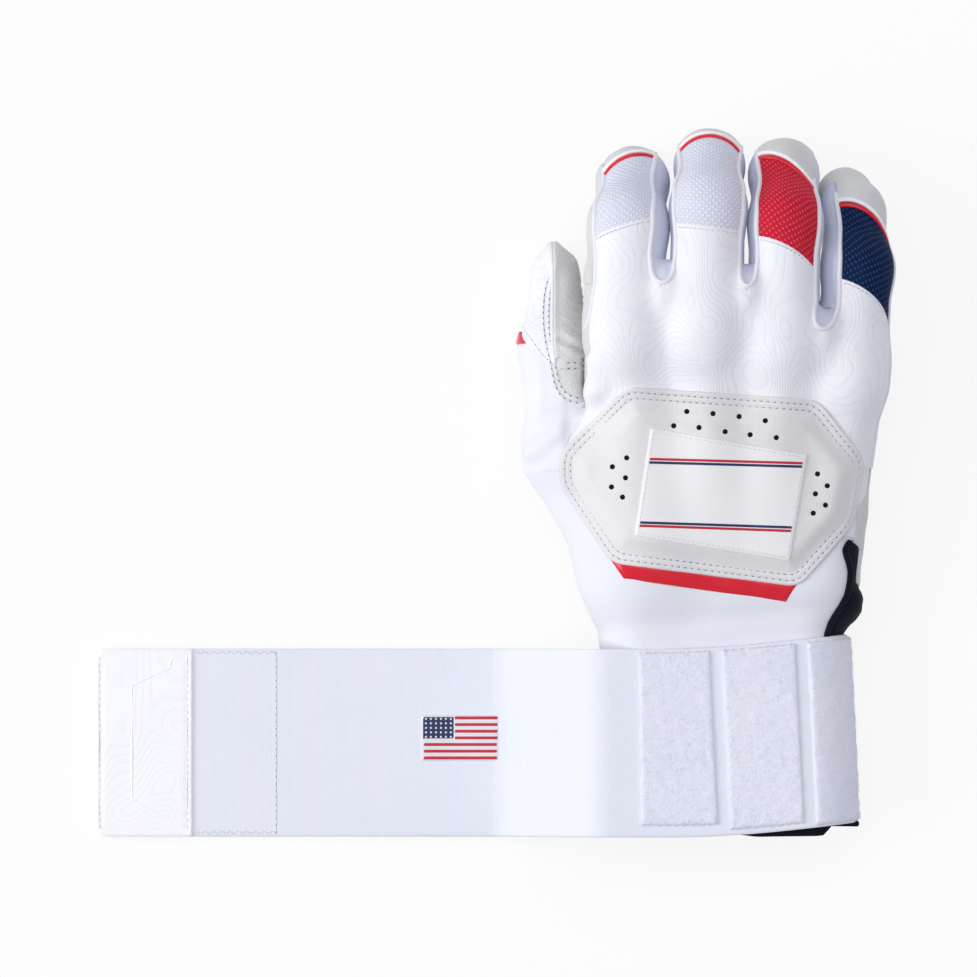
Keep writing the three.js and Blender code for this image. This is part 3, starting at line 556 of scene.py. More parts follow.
def line_distance(points: Points, a: Points, b: Points) -> Points:
    """Distances to the nearest of many segments, worked out for some hundred points at a time.

    Args:
        points: Points in mm.
        a: The segments' starts.
        b: Their ends.

    Returns:
        A distance for each point.
    """
    along = b - a
    size = np.maximum((along * along).sum(-1), 1e-9)
    found = np.empty(len(points))
    for part in np.array_split(np.arange(len(points)), max(1, len(points) // 400)):
        out = points[part][:, None] - a
        h = np.clip((out * along).sum(-1) / size, 0, 1)[..., None]
        found[part] = np.sqrt(((out - h * along) ** 2).sum(-1).min(axis=1))
    return found


def clean_faces(quads: Points) -> list[list[int]]:
    """Faces as lists, with the repeated corners of faces at a pole left out.

    Args:
        quads: Four numbers for each face.

    Returns:
        The faces.
    """
    same = (quads == np.roll(quads, -1, axis=1)).any(axis=1)
    poles = [list(dict.fromkeys(q)) for q in quads[same].tolist()]
    return quads[~same].tolist() + [q for q in poles if len(q) > 2]


def steps(count: int, low: float = 0.0, high: float = 1.0) -> Points:
    """Even steps from low to high, count of them and one more point."""
    return np.linspace(low, high, count + 1)


def graded(length: float, pitch: float, edge: Sequence[float] = (0.3, 0.8, 1.5)) -> Points:
    """Steps from 0 to 1, which are close together near both ends.

    Args:
        length: The length that they divide, in mm.
        pitch: Their size in its middle.
        edge: Their places from each end.

    Returns:
        The steps.
    """
    near = np.array(edge)
    inner = np.linspace(near[-1] + 0.7, length - near[-1] - 0.7, max(int(length / pitch), 2))
    return np.concatenate([[0], near, inner, length - near[::-1], [length]]) / length


def through(values: Sequence[float], t: Points) -> Points:
    """A parabola through a value at 0, at a half and at 1."""
    a, b, c = values
    return a * (1 - t) * (1 - 2 * t) + 4 * b * t * (1 - t) + c * t * (2 * t - 1)


def ripples(p: Points, wavelength: float, seed: int, count: int = 9) -> Points:
    """An even random relief from -1 to 1: the mean of sine waves in random directions.

    Args:
        p: Points in mm.
        wavelength: The waves' middle length.
        seed: Which relief it is.
        count: How many waves it has.

    Returns:
        A height for each point.
    """
    rng = np.random.default_rng(seed)
    ways = unit(rng.normal(size=(count, 3))) * 2 * np.pi
    ways = ways / (wavelength * rng.uniform(0.7, 1.5, (count, 1)))
    return np.sin(p @ ways.T + rng.uniform(0, 2 * np.pi, count)).mean(axis=-1) * math.sqrt(count) / 1.6


def resample(path: Points, pitch: float) -> Points:
    """A path's points at even lengths.

    Args:
        path: Points, with any number of values each.
        pitch: About how far apart they are.

    Returns:
        The points.
    """
    length = np.concatenate([[0], np.linalg.norm(np.diff(path, axis=0), axis=1).cumsum()])
    marks = np.linspace(0, length[-1], max(int(round(length[-1] / pitch)), 1) + 1)
    return np.stack([np.interp(marks, length, path[:, i]) for i in range(path.shape[1])], -1)


def soften(path: Points, width: int, closed: bool = False) -> Points:
    """A path whose points are the means of their neighbours, so that its corners are round.

    Args:
        path: Its points.
        width: How many neighbours on each side.
        closed: Whether its ends meet.

    Returns:
        The points.
    """
    padded = np.pad(path, ((width, width), (0, 0)), mode="wrap" if closed else "edge")
    kernel = np.ones(2 * width + 1) / (2 * width + 1)
    return np.stack([np.convolve(padded[:, i], kernel, "valid") for i in range(path.shape[1])], -1)


def tube(
    path: Points, normals: Points, radius: Points | float, sides: int = 10, flatten: float = 1.0
) -> Solid:
    """A closed tube: rings round a path, with a cap at each end.

    Args:
        path: The tube's middle line.
        normals: Which way is up along it.
        radius: Half its width, in all or at each point.
        sides: Points of a ring.
        flatten: Its height as a share of its width.

    Returns:
        The tube, with a flat map that counts its rings.
    """
    count = len(path)
    tangent = unit(np.gradient(path, axis=0))
    side = unit(np.cross(tangent, normals))
    up = np.cross(side, tangent)
    radius = np.broadcast_to(radius, count).copy()[:, None, None]
    a = np.linspace(0, 2 * np.pi, sides, endpoint=False)[None, :, None]
    rings = path[:, None] + radius * (side[:, None] * np.cos(a) + flatten * up[:, None] * np.sin(a))
    vertices = np.concatenate([rings.reshape(-1, 3), path[:1], path[-1:]])
    first, last, end = count * sides, count * sides + 1, (count - 1) * sides
    ring = np.arange(sides)
    after = (ring + 1) % sides
    i, j = np.meshgrid(np.arange(count - 1) * sides, ring, indexing="ij")
    k = (j + 1) % sides
    quads = np.stack([i + j, i + sides + j, i + sides + k, i + k], -1).reshape(-1, 4)
    caps = np.stack([np.full(sides, first), ring, after], -1).tolist()
    caps += np.stack([np.full(sides, last), end + after, end + ring], -1).tolist()
    flat = np.concatenate([np.repeat(np.arange(count), sides), [0, count - 1]]).astype(float)
    return Solid(vertices, quads.tolist() + caps, np.stack([flat * 0, flat], -1))


def bead() -> tuple[Points, Points]:
    """A rounded bead of size 2 along X: six points round at three places, and its two ends.

    Returns:
        Its points, and four numbers for each face.
    """
    at = np.array([-0.72, 0.0, 0.72])
    size = np.array([0.72, 1.0, 0.72])
    a = np.linspace(0, 2 * np.pi, 6, endpoint=False)
    ring = np.stack([np.zeros(6), np.cos(a), np.sin(a)], -1)
    belts = [np.array([x, 0, 0]) + ring * s for x, s in zip(at, size)]
    i = np.arange(6)
    j = (i + 1) % 6
    quads = [np.stack([r + i, r + j, r + 6 + j, r + 6 + i], -1) for r in (0, 6)]
    ends = [np.stack([0 * i + 18, j, i, i], -1), np.stack([0 * i + 19, 12 + i, 12 + j, 12 + j], -1)]
    return np.concatenate(belts + [[[-1, 0, 0], [1, 0, 0]]]), np.concatenate(quads + ends)


def beads(
    centres: Points, along: Points, up: Points, sizes: tuple[float, float, float], tone: int = 0
) -> Solid:
    """Many beads as one solid, each with its own place and turn.

    Args:
        centres: The beads' places.
        along: Each bead's long direction.
        up: Which way is up for each.
        sizes: Length, width and height, in mm.
        tone: Which finish they have.

    Returns:
        The beads.
    """
    shape, quads = bead()
    along = unit(along)
    side = unit(np.cross(up, along))
    up = np.cross(along, side)
    local = shape * np.array(sizes) / 2
    frame = np.stack([along, side, up], 1)
    vertices = (centres[:, None] + np.einsum("pk,nkc->npc", local, frame)).reshape(-1, 3)
    faces = (quads[None] + np.arange(len(centres))[:, None, None] * len(shape)).reshape(-1, 4)
    return Solid(vertices, clean_faces(faces), None, np.full(len(faces), tone))


def joined(solids: Sequence[Solid]) -> Solid:
    """Several solids as one.

    Args:
        solids: The solids.

    Returns:
        One solid, with a flat map and tones where all of them have these.
    """
    starts = np.cumsum([0] + [len(s.vertices) for s in solids])
    faces = [[i + int(start) for i in face] for s, start in zip(solids, starts) for face in s.faces]
    flats = None if any(s.flat is None for s in solids) else np.concatenate([s.flat for s in solids])
    tones = None if any(s.tones is None for s in solids) else np.concatenate([s.tones for s in solids])
    return Solid(np.concatenate([s.vertices for s in solids]), faces, flats, tones)


@dataclass(frozen=True)
class Thread:
    """A row of stitches: thread for most of a stitch, and between two a dark bead of painted shade at a
    needle hole. Sizes are in mm.
    """

    pitch: float = 2.3
    length: float = 1.75
    width: float = 0.55
    height: float = 0.42
    hole: float = 0.62

    def row(self, path: Points, normals: Points, lift: float) -> Solid:
        """Stitches along a path, with dark beads of painted shade sunk between them at the needle holes.

        Args:
            path: Points of the row, on the surface.
            normals: The surface's normals there.
            lift: Height of the sewn surface over the path.

        Returns:
            Beads of thread with tone 0, and of the needle holes' painted shade with tone 1.
        """
        line = resample(np.concatenate([path, normals], axis=1), self.pitch)
        at, up = line[:, :3], unit(line[:, 3:])
        along = np.diff(at, axis=0)
        middle = (at[1:] + at[:-1]) / 2 + (up[1:] + up[:-1]) / 2 * lift
        thread = beads(middle, along, up[1:], (self.length, self.width, self.height))
        # Dark beads of painted shade at the needle holes.
        hole = (self.hole * 1.5, self.hole * 0.8, 0.16)
        ends = beads(at + up * (lift - 0.06), np.gradient(at, axis=0), up, hole, tone=1)
        return joined([thread, ends])

    def zigzag(self, path: Points, normals: Points, lift: float, swing: float) -> Solid:
        """Stitches that go to and fro across a path.

        Args:
            path: Points of the row, on the surface.
            normals: The surface's normals there.
            lift: Height of the sewn surface over the path.
            swing: How far they go to each side.

        Returns:
            Beads of thread.
        """
        line = resample(np.concatenate([path, normals], axis=1), self.pitch * 0.62)
        at, up = line[:, :3] + unit(line[:, 3:]) * lift, unit(line[:, 3:])
        side = unit(np.cross(up, np.gradient(at, axis=0)))
        at = at + side * (swing * (-1.0) ** np.arange(len(at)))[:, None]
        sizes = (self.length * 1.1, self.width, self.height)
        return beads((at[1:] + at[:-1]) / 2, np.diff(at, axis=0), up[1:], sizes)


# Materials

MATH = "ShaderNodeMath"
NOISE = "ShaderNodeTexNoise"
RANGE = "ShaderNodeMapRange"
# Size in metres of the faint patches that every material has.
PATCH_SIZE = 0.022


def linear(colour: str) -> Colour:
    """An sRGB hex colour as linear red, green and blue, with alpha 1."""
    parts = [int(colour[i : i + 2], 16) / 255 for i in (1, 3, 5)]
    return (*(c / 12.92 if c <= 0.04045 else ((c + 0.055) / 1.055) ** 2.4 for c in parts), 1.0)


def node(tree: NodeTree, kind: str, inputs: dict | None = None, **settings: object) -> Node:
    """Adds a node.

    Args:
        tree: The material's node tree.
        kind: The node's type.
        inputs: A socket, a node whose first output is linked, or a value, for each input.
        **settings: The node's own properties.

    Returns:
        The node.
    """
    made = tree.nodes.new(kind)
    for name, value in settings.items():
        setattr(made, name, value)
    for key, value in (inputs or {}).items():
        if isinstance(value, Node):
            value = value.outputs[0]
        if isinstance(value, NodeSocket):
            tree.links.new(value, made.inputs[key])
        else:
            made.inputs[key].default_value = value
    return made


class Pattern(Enum):
    """How a surface was made, which gives its relief."""

    EMBOSSED = "contour lines pressed into leather"
    GRAIN = "pebbled leather"
    MESH = "knitted mesh with knobs"
    JERSEY = "fine knit"
    RIB = "woven ribs"
    PILE = "brushed loops"
    SMOOTH = "coated film"
    TWIST = "twisted thread"


@dataclass(frozen=True)
class Finish:
    """A material: its colour and a shade colour, which slow patches mix in at random and which is painted
    into the relief's low places as painted shade; the size and depth of its relief in mm, and how it
    shines.
    """

    name: str
    slot: str
    colour: str
    shade: str
    pattern: Pattern
    size: float
    depth: float
    roughness: float = 0.6
    sheen: float = 0.0
    coat: float = 0.0
    mottle: float = 0.25
    contrast: float = 0.5
    specular: float = 0.4

    def material(self) -> bpy.types.Material:
        """Builds the material, unless it exists.

        Returns:
            The material.
        """
        found = bpy.data.materials.get(self.name)
        if found:
            return found
        made = bpy.data.materials.new(self.name)
        made.use_nodes = True
        tree = made.node_tree
        tree.nodes.clear()
        coords = node(tree, "ShaderNodeTexCoord")
        here = coords.outputs["Object"]
        relief = self._relief(tree, here, coords.outputs["UV"])
        patches = node(tree, NOISE, {"Vector": here, "Scale": 1 / PATCH_SIZE, "Detail": 3.0})
        soft = node(tree, RANGE, {0: patches, 1: 0.35, 2: 0.7, 3: 0.0, 4: self.mottle})
        # The shade colour's share: painted shade in the relief's low places, by contrast, and uneven tone
        # from the slow patches.
        lows = node(tree, MATH, {0: 1.0, 1: relief}, operation="SUBTRACT")
        deep = node(tree, MATH, {0: lows, 1: self.contrast, 2: soft}, operation="MULTIPLY_ADD")
        tones = {0: deep, 6: linear(self.colour), 7: linear(self.shade)}
        colour = node(tree, "ShaderNodeMix", tones, data_type="RGBA")
        dull = node(tree, RANGE, {0: patches, 3: self.roughness - 0.06, 4: self.roughness + 0.06})
        height = {"Height": relief, "Distance": self.depth * MM, "Strength": 1.0}
        skin = node(
            tree,
            "ShaderNodeBsdfPrincipled",
            {
                "Base Color": colour.outputs[2],
                "Roughness": dull,
                "Normal": node(tree, "ShaderNodeBump", height),
                "Specular IOR Level": self.specular,
                "Sheen Weight": self.sheen,
                "Coat Weight": self.coat,
                "Coat Roughness": 0.12,
            },
        )
        node(tree, "ShaderNodeOutputMaterial", {0: skin})
        return made

    def _relief(self, tree: NodeTree, here: NodeSocket, flat: NodeSocket) -> Node:
        """The surface's pattern.

        Args:
            tree: The material's node tree.
            here: Object coordinates.
            flat: The piece's flat map.

        Returns:
            A node whose first output is the height, from 0 to 1.
        """
        per_metre = 1 / (self.size * MM)
        if self.pattern is Pattern.EMBOSSED:
            # Level lines of a slow noise, about one size apart where the noise is steep.
            stretch = {0: here, 1: (1.0, 0.6, 0.6)}
            drawn = node(tree, "ShaderNodeVectorMath", stretch, operation="MULTIPLY")
            hills = {"Vector": drawn, "Scale": per_metre / 13, "Detail": 0.6, "Distortion": 0.5}
            level = node(tree, MATH, {0: node(tree, NOISE, hills), 1: 52.0}, operation="MULTIPLY")
            line = node(tree, MATH, {0: level, 1: 1.0}, operation="PINGPONG")
            cut = node(tree, RANGE, {0: line, 1: 0.0, 2: 0.45}, interpolation_type="SMOOTHSTEP")
            pores = node(tree, NOISE, {"Vector": here, "Scale": 2.2 * per_metre, "Detail": 2.0})
            return node(tree, MATH, {0: pores, 1: 0.35, 2: cut}, operation="MULTIPLY_ADD")
        if self.pattern is Pattern.GRAIN:
            # Cells with rounded edges, faded by a slower noise.
            grain = {"Vector": here, "Scale": per_metre}
            cells = node(tree, "ShaderNodeTexVoronoi", grain, feature="DISTANCE_TO_EDGE")
            pebble = node(tree, RANGE, {0: cells, 1: 0.0, 2: 0.32}, interpolation_type="SMOOTHSTEP")
            creases = node(tree, NOISE, {"Vector": here, "Scale": per_metre / 3, "Detail": 4.0})
            return node(tree, MATH, {0: pebble, 1: creases}, operation="MULTIPLY")
        if self.pattern in (Pattern.MESH, Pattern.RIB, Pattern.JERSEY):
            scale = node(tree, "ShaderNodeVectorMath", {0: flat, "Scale": per_metre}, operation="SCALE")
            split = node(tree, "ShaderNodeSeparateXYZ", {0: scale})
            return self._weave(tree, split.outputs[0], split.outputs[1])
        if self.pattern is Pattern.PILE:
            nap = {"Vector": here, "Scale": per_metre, "Detail": 5.0, "Roughness": 0.7}
            return node(tree, RANGE, {0: node(tree, NOISE, nap), 1: 0.3, 2: 0.7})
        return node(tree, NOISE, {"Vector": here, "Scale": per_metre, "Detail": 2.0})

    def _weave(self, tree: NodeTree, u: NodeSocket, v: NodeSocket) -> Node:
        """Relief of a cloth from sine waves across and along it, whose length is one size.

        Args:
            tree: The material's node tree.
            u: Place across the cloth, in sizes.
            v: Place along it, in sizes.

        Returns:
            A node whose first output is the height, from 0 to 1.
        """

        def wave(x: NodeSocket | Node) -> Node:
            """The sine of a place, one turn to a size."""
            turn = node(tree, MATH, {0: x, 1: 2 * math.pi}, operation="MULTIPLY")
            return node(tree, MATH, {0: turn}, operation="SINE")

        if self.pattern is Pattern.MESH:
            # A wave across and one along, whose product makes knobs in a staggered grid.
            both = node(tree, MATH, {0: wave(u), 1: wave(v)}, operation="MULTIPLY")
            return node(tree, RANGE, {0: both, 1: 0.05, 2: 0.8}, interpolation_type="SMOOTHSTEP")
        if self.pattern is Pattern.RIB:
            # Ribs along the width, crossed by finer threads.
            finer = node(tree, MATH, {0: u, 1: 1.6}, operation="MULTIPLY")
            cross = node(tree, MATH, {0: wave(finer), 1: 0.35, 2: wave(v)}, operation="MULTIPLY_ADD")
            return node(tree, MATH, {0: cross, 1: 0.35, 2: 0.5}, operation="MULTIPLY_ADD")
        # Knit: columns of loops, which lean to both sides in turn.
        sway = node(tree, MATH, {0: wave(v), 1: 0.22}, operation="MULTIPLY")
        lean = node(tree, MATH, {0: u, 1: sway}, operation="ADD")
        half = node(tree, MATH, {0: v, 1: 0.5}, operation="MULTIPLY")
        loops = node(tree, MATH, {0: wave(lean), 1: wave(half)}, operation="MULTIPLY")
        return node(tree, MATH, {0: loops, 1: 0.5, 2: 0.5}, operation="MULTIPLY_ADD")


# Sheep leather, pressed with level lines and drummed matt: broad soft shine, fine pores.
WHITE_LEATHER = Finish(
    "embossed_sheepskin", "white_leather", "#F4F4F7", "#CDD1E0", Pattern.EMBOSSED,
    1.7, 0.06, 0.5, mottle=0.1, contrast=0.13,
)
# Thin glove leather of the welts, smooth on the turned edges.
PLAIN_LEATHER = Finish(
    "smooth_sheepskin", "white_leather", "#F2F2F6", "#CDD0E2", Pattern.GRAIN,
    0.9, 0.06, 0.5, mottle=0.1, contrast=0.14,
)
# The same leather on the fingers' sides, painted darker and bluer than the back as painted shade, where
# the fingers shade each other.
SHADED_SIDE_LEATHER = Finish(
    "side_sheepskin_painted_shade", "white_leather", "#E0E3F0", "#BFC4DC", Pattern.GRAIN,
    0.9, 0.06, 0.5, mottle=0.15, contrast=0.2,
)
# Pebbled synthetic leather of the pad: fine even grain, low shine.
GREY_LEATHER = Finish(
    "pebbled_leather", "grey_leather", "#F1EFEE", "#D2CFCD", Pattern.GRAIN,
    0.85, 0.1, 0.55, mottle=0.2, contrast=0.3,
)
# The label's smooth coated leather, whiter than the pad.
LABEL_LEATHER = Finish(
    "label_leather", "white_leather", "#F8F7F6", "#E6E4E3", Pattern.GRAIN,
    0.7, 0.04, 0.5, mottle=0.15, contrast=0.2,
)
# The end tab's leather, painted whiter than the back as painted light, with a warm grey painted shade in
# the same level lines as the back, hardly pressed.
LIT_TAB_LEATHER = Finish(
    "tab_leather_painted_light", "white_leather", "#FFFFFF", "#E4E2DA", Pattern.EMBOSSED,
    1.9, 0.04, 0.5, mottle=0.05, contrast=0.16,
)
# Goatskin of the fingertips, turned over from the palm: a little grey, with large grain, and painted
# lighter than the palm as painted light on the tips, which face away from the lamps.
LIT_TIP_LEATHER = Finish(
    "tip_goatskin_painted_light", "palm_leather", "#EEEEED", "#C6C6C6", Pattern.GRAIN,
    1.0, 0.14, 0.5, mottle=0.3, contrast=0.35,
)
# Thin coated piping beside the tips, which stays bright and even.
PIPING_LEATHER = Finish(
    "piping_leather", "white_leather", "#FFFFFF", "#ECECF0", Pattern.SMOOTH,
    0.9, 0.04, 0.5, mottle=0.05, contrast=0.1,
)
# Goatskin of the palm, with larger grain, and its grey shade colour painted into the creases as painted
# shade.
PALM_LEATHER = Finish(
    "goatskin", "palm_leather", "#E9E9E7", "#C2C2C1", Pattern.GRAIN,
    1.0, 0.16, 0.5, mottle=0.25, contrast=0.35,
)
# The same goatskin on the thumb, painted lighter than the palm as painted light, since the thumb's front
# faces away from the key lamp.
LIT_THUMB_LEATHER = Finish(
    "thumb_goatskin_painted_light", "palm_leather", "#F8F8F6", "#D0CFCE", Pattern.GRAIN,
    0.9, 0.16, 0.5, mottle=0.15, contrast=0.35,
)
# Polyester mesh, knitted with knobs in staggered rows, about 1.6 mm apart: the knobs painted white as
# painted highlight over a lavender ground of painted shade.
WHITE_MESH = Finish(
    "white_mesh_knit", "white_knit", "#FFFFFF", "#DCE0F0", Pattern.MESH,
    2.2, 0.25, 0.75, 0.1, contrast=1.0, mottle=0.0, specular=0.2,
)
# The same mesh in red: knobs painted pale as painted highlight, over a deep red ground.
RED_MESH = Finish(
    "red_mesh_knit", "red_knit", "#F2586C", "#CE1B34", Pattern.MESH,
    2.3, 0.3, 0.7, contrast=1.0, mottle=0.0, specular=0.15,
)
# And in navy, where the knobs hardly catch the light.
NAVY_MESH = Finish(
    "navy_mesh_knit", "navy_knit", "#27497C", "#091D42", Pattern.MESH,
    2.3, 0.3, 0.7, contrast=1.0, mottle=0.0, specular=0.12,
)
# Spandex jersey of the wrist, fine and even. Its loops are drawn three times as coarse as the real
# 0.3 mm ones, to show at all.
JERSEY = Finish(
    "spandex_jersey", "white_knit", "#F2F3F8", "#D3D7E8", Pattern.JERSEY,
    0.9, 0.03, 0.8, 0.2, contrast=0.22, mottle=0.1,
)
# Polyurethane film on the accents: a clear gloss over an even red.
RED_FILM = Finish(
    "glossy_film", "red_trim", "#E4182F", "#C01026", Pattern.SMOOTH,
    9.0, 0.1, 0.22, coat=0.3, mottle=0.1, contrast=0.2,
)
# Knitted navy binding, close and matt.
NAVY_CLOTH = Finish(
    "navy_binding", "navy_cloth", "#0D1428", "#05070F", Pattern.GRAIN,
    0.8, 0.08, 0.75, 0.03, contrast=0.6, specular=0.15,
)
# Woven elastic: ribs of covered rubber across, 0.7 mm apart.
ELASTIC = Finish(
    "woven_elastic", "elastic", "#F3F5FB", "#D6DBEB", Pattern.RIB,
    0.7, 0.06, 0.8, 0.1, contrast=0.4, mottle=0.08, specular=0.2,
)
# Brushed nylon loops: a soft nap that scatters light.
LOOP_PILE = Finish(
    "brushed_loop", "loop", "#F6F7FE", "#DDE1F5", Pattern.PILE,
    1.3, 0.15, 0.9, 0.2, contrast=0.4, mottle=0.25,
)
# Moulded nylon hook tape: even and half dull.
HOOK_PLASTIC = Finish(
    "moulded_hook", "hook", "#DCDCE2", "#B9BAC4", Pattern.SMOOTH,
    2.0, 0.05, 0.5,
)
# Closed-cell foam, cut and dark, which takes up light.
FOAM = Finish(
    "closed_cell_foam", "foam", "#1B1B1F", "#0A0A0C", Pattern.PILE,
    0.7, 0.2, 0.9,
)
# Bonded polyester thread, twisted: close windings with a slight sheen.
THREAD = Finish(
    "bonded_thread", "white_leather", "#EDEDF2", "#C2C4D0", Pattern.TWIST,
    0.5, 0.05, 0.55, 0.2,
)
# Painted shade of the holes that a needle leaves in leather: small dark beads, dull.
HOLE_SHADE = Finish(
    "needle_hole_painted_shade", "grey_leather", "#8C8C98", "#6A6A78", Pattern.GRAIN,
    0.5, 0.02, 0.9,
)
# Rayon embroidery in red: close threads that catch some light.
RED_STITCH = Finish(
    "red_embroidery", "red_trim", "#DB2B41", "#A5162B", Pattern.TWIST,
    0.6, 0.08, 0.5, 0.2,
)
# The same embroidery in navy, with painted shade between its threads.
NAVY_STITCH = Finish(
    "navy_embroidery", "navy_cloth", "#223561", "#14224A", Pattern.TWIST,
    0.6, 0.08, 0.5, 0.2,
)
# Woven polyester twill under the embroidery: pale, close and dull.
PATCH_CLOTH = Finish(
    "patch_twill", "white_knit", "#F2F2F4", "#D2D3DA", Pattern.TWIST,
    0.6, 0.06, 0.7,
)


def piece(
    name: str, solid: Solid, *finishes: Finish, cad: str | None = None, body: str | None = None
) -> Object:
    """Makes an object from a solid, and fastens it to a body of the frame when given one.

    Args:
        name: The piece's name.
        solid: Its shape, in mm.
        *finishes: A finish for each of its tones.
        cad: The CAD node that it replaces, if any.
        body: The body that it rides on, if any.

    Returns:
        The object.
    """
    mesh = bpy.data.meshes.new(name)
    mesh.from_pydata((solid.vertices * MM).tolist(), [], solid.faces)
    mesh.polygons.foreach_set("use_smooth", np.ones(len(mesh.polygons), bool))
    if solid.flat is not None:
        corner = np.empty(len(mesh.loops), np.int32)
        mesh.loops.foreach_get("vertex_index", corner)
        layer = mesh.uv_layers.new(name="flat")
        layer.data.foreach_set("uv", (solid.flat[corner] * MM).astype(np.float32).ravel())
    for finish in finishes:
        mesh.materials.append(finish.material())
    if solid.tones is not None:
        mesh.polygons.foreach_set("material_index", solid.tones.astype(np.int32))
    mesh.update()
    mesh.set_sharp_from_angle(angle=math.radians(70))
    made = bpy.data.objects.new(name, mesh)
    bpy.context.scene.collection.objects.link(made)
    if cad:
        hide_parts(cad)
    if body:
        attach(made, body)
    LOG.info("%s: %d faces", name, len(mesh.polygons))
    return made


def metres(p: Points) -> tuple[float, float, float]:
    """A point in metres, for the frame's calls."""
    return tuple(float(c) * MM for c in p)


# Sub-assemblies

# Places along a finger, in s: its hinge, the edge of its cap, and how far panels lie beyond the web.
CREASE = 2.08
CAP_EDGE = 3.35
WEB_LIFT = 0.06
# Heights of the inner faces of leather and knit, in mm under the form.
LEATHER_IN = -1.2
KNIT_IN = -0.9
# The back panel's corners on its lower seam, and the seam's place.
BACK_SPLITS = (-51.0, -22.0, 2.0, 22.0)
BACK_SEAM_Y = 92.0
STITCHES = Thread()
FINE_STITCHES = Thread(1.6, 1.1, 0.5, 0.4, 0.48)
LABEL_STITCHES = Thread(1.7, 1.3, 0.42, 0.32, 0.4)


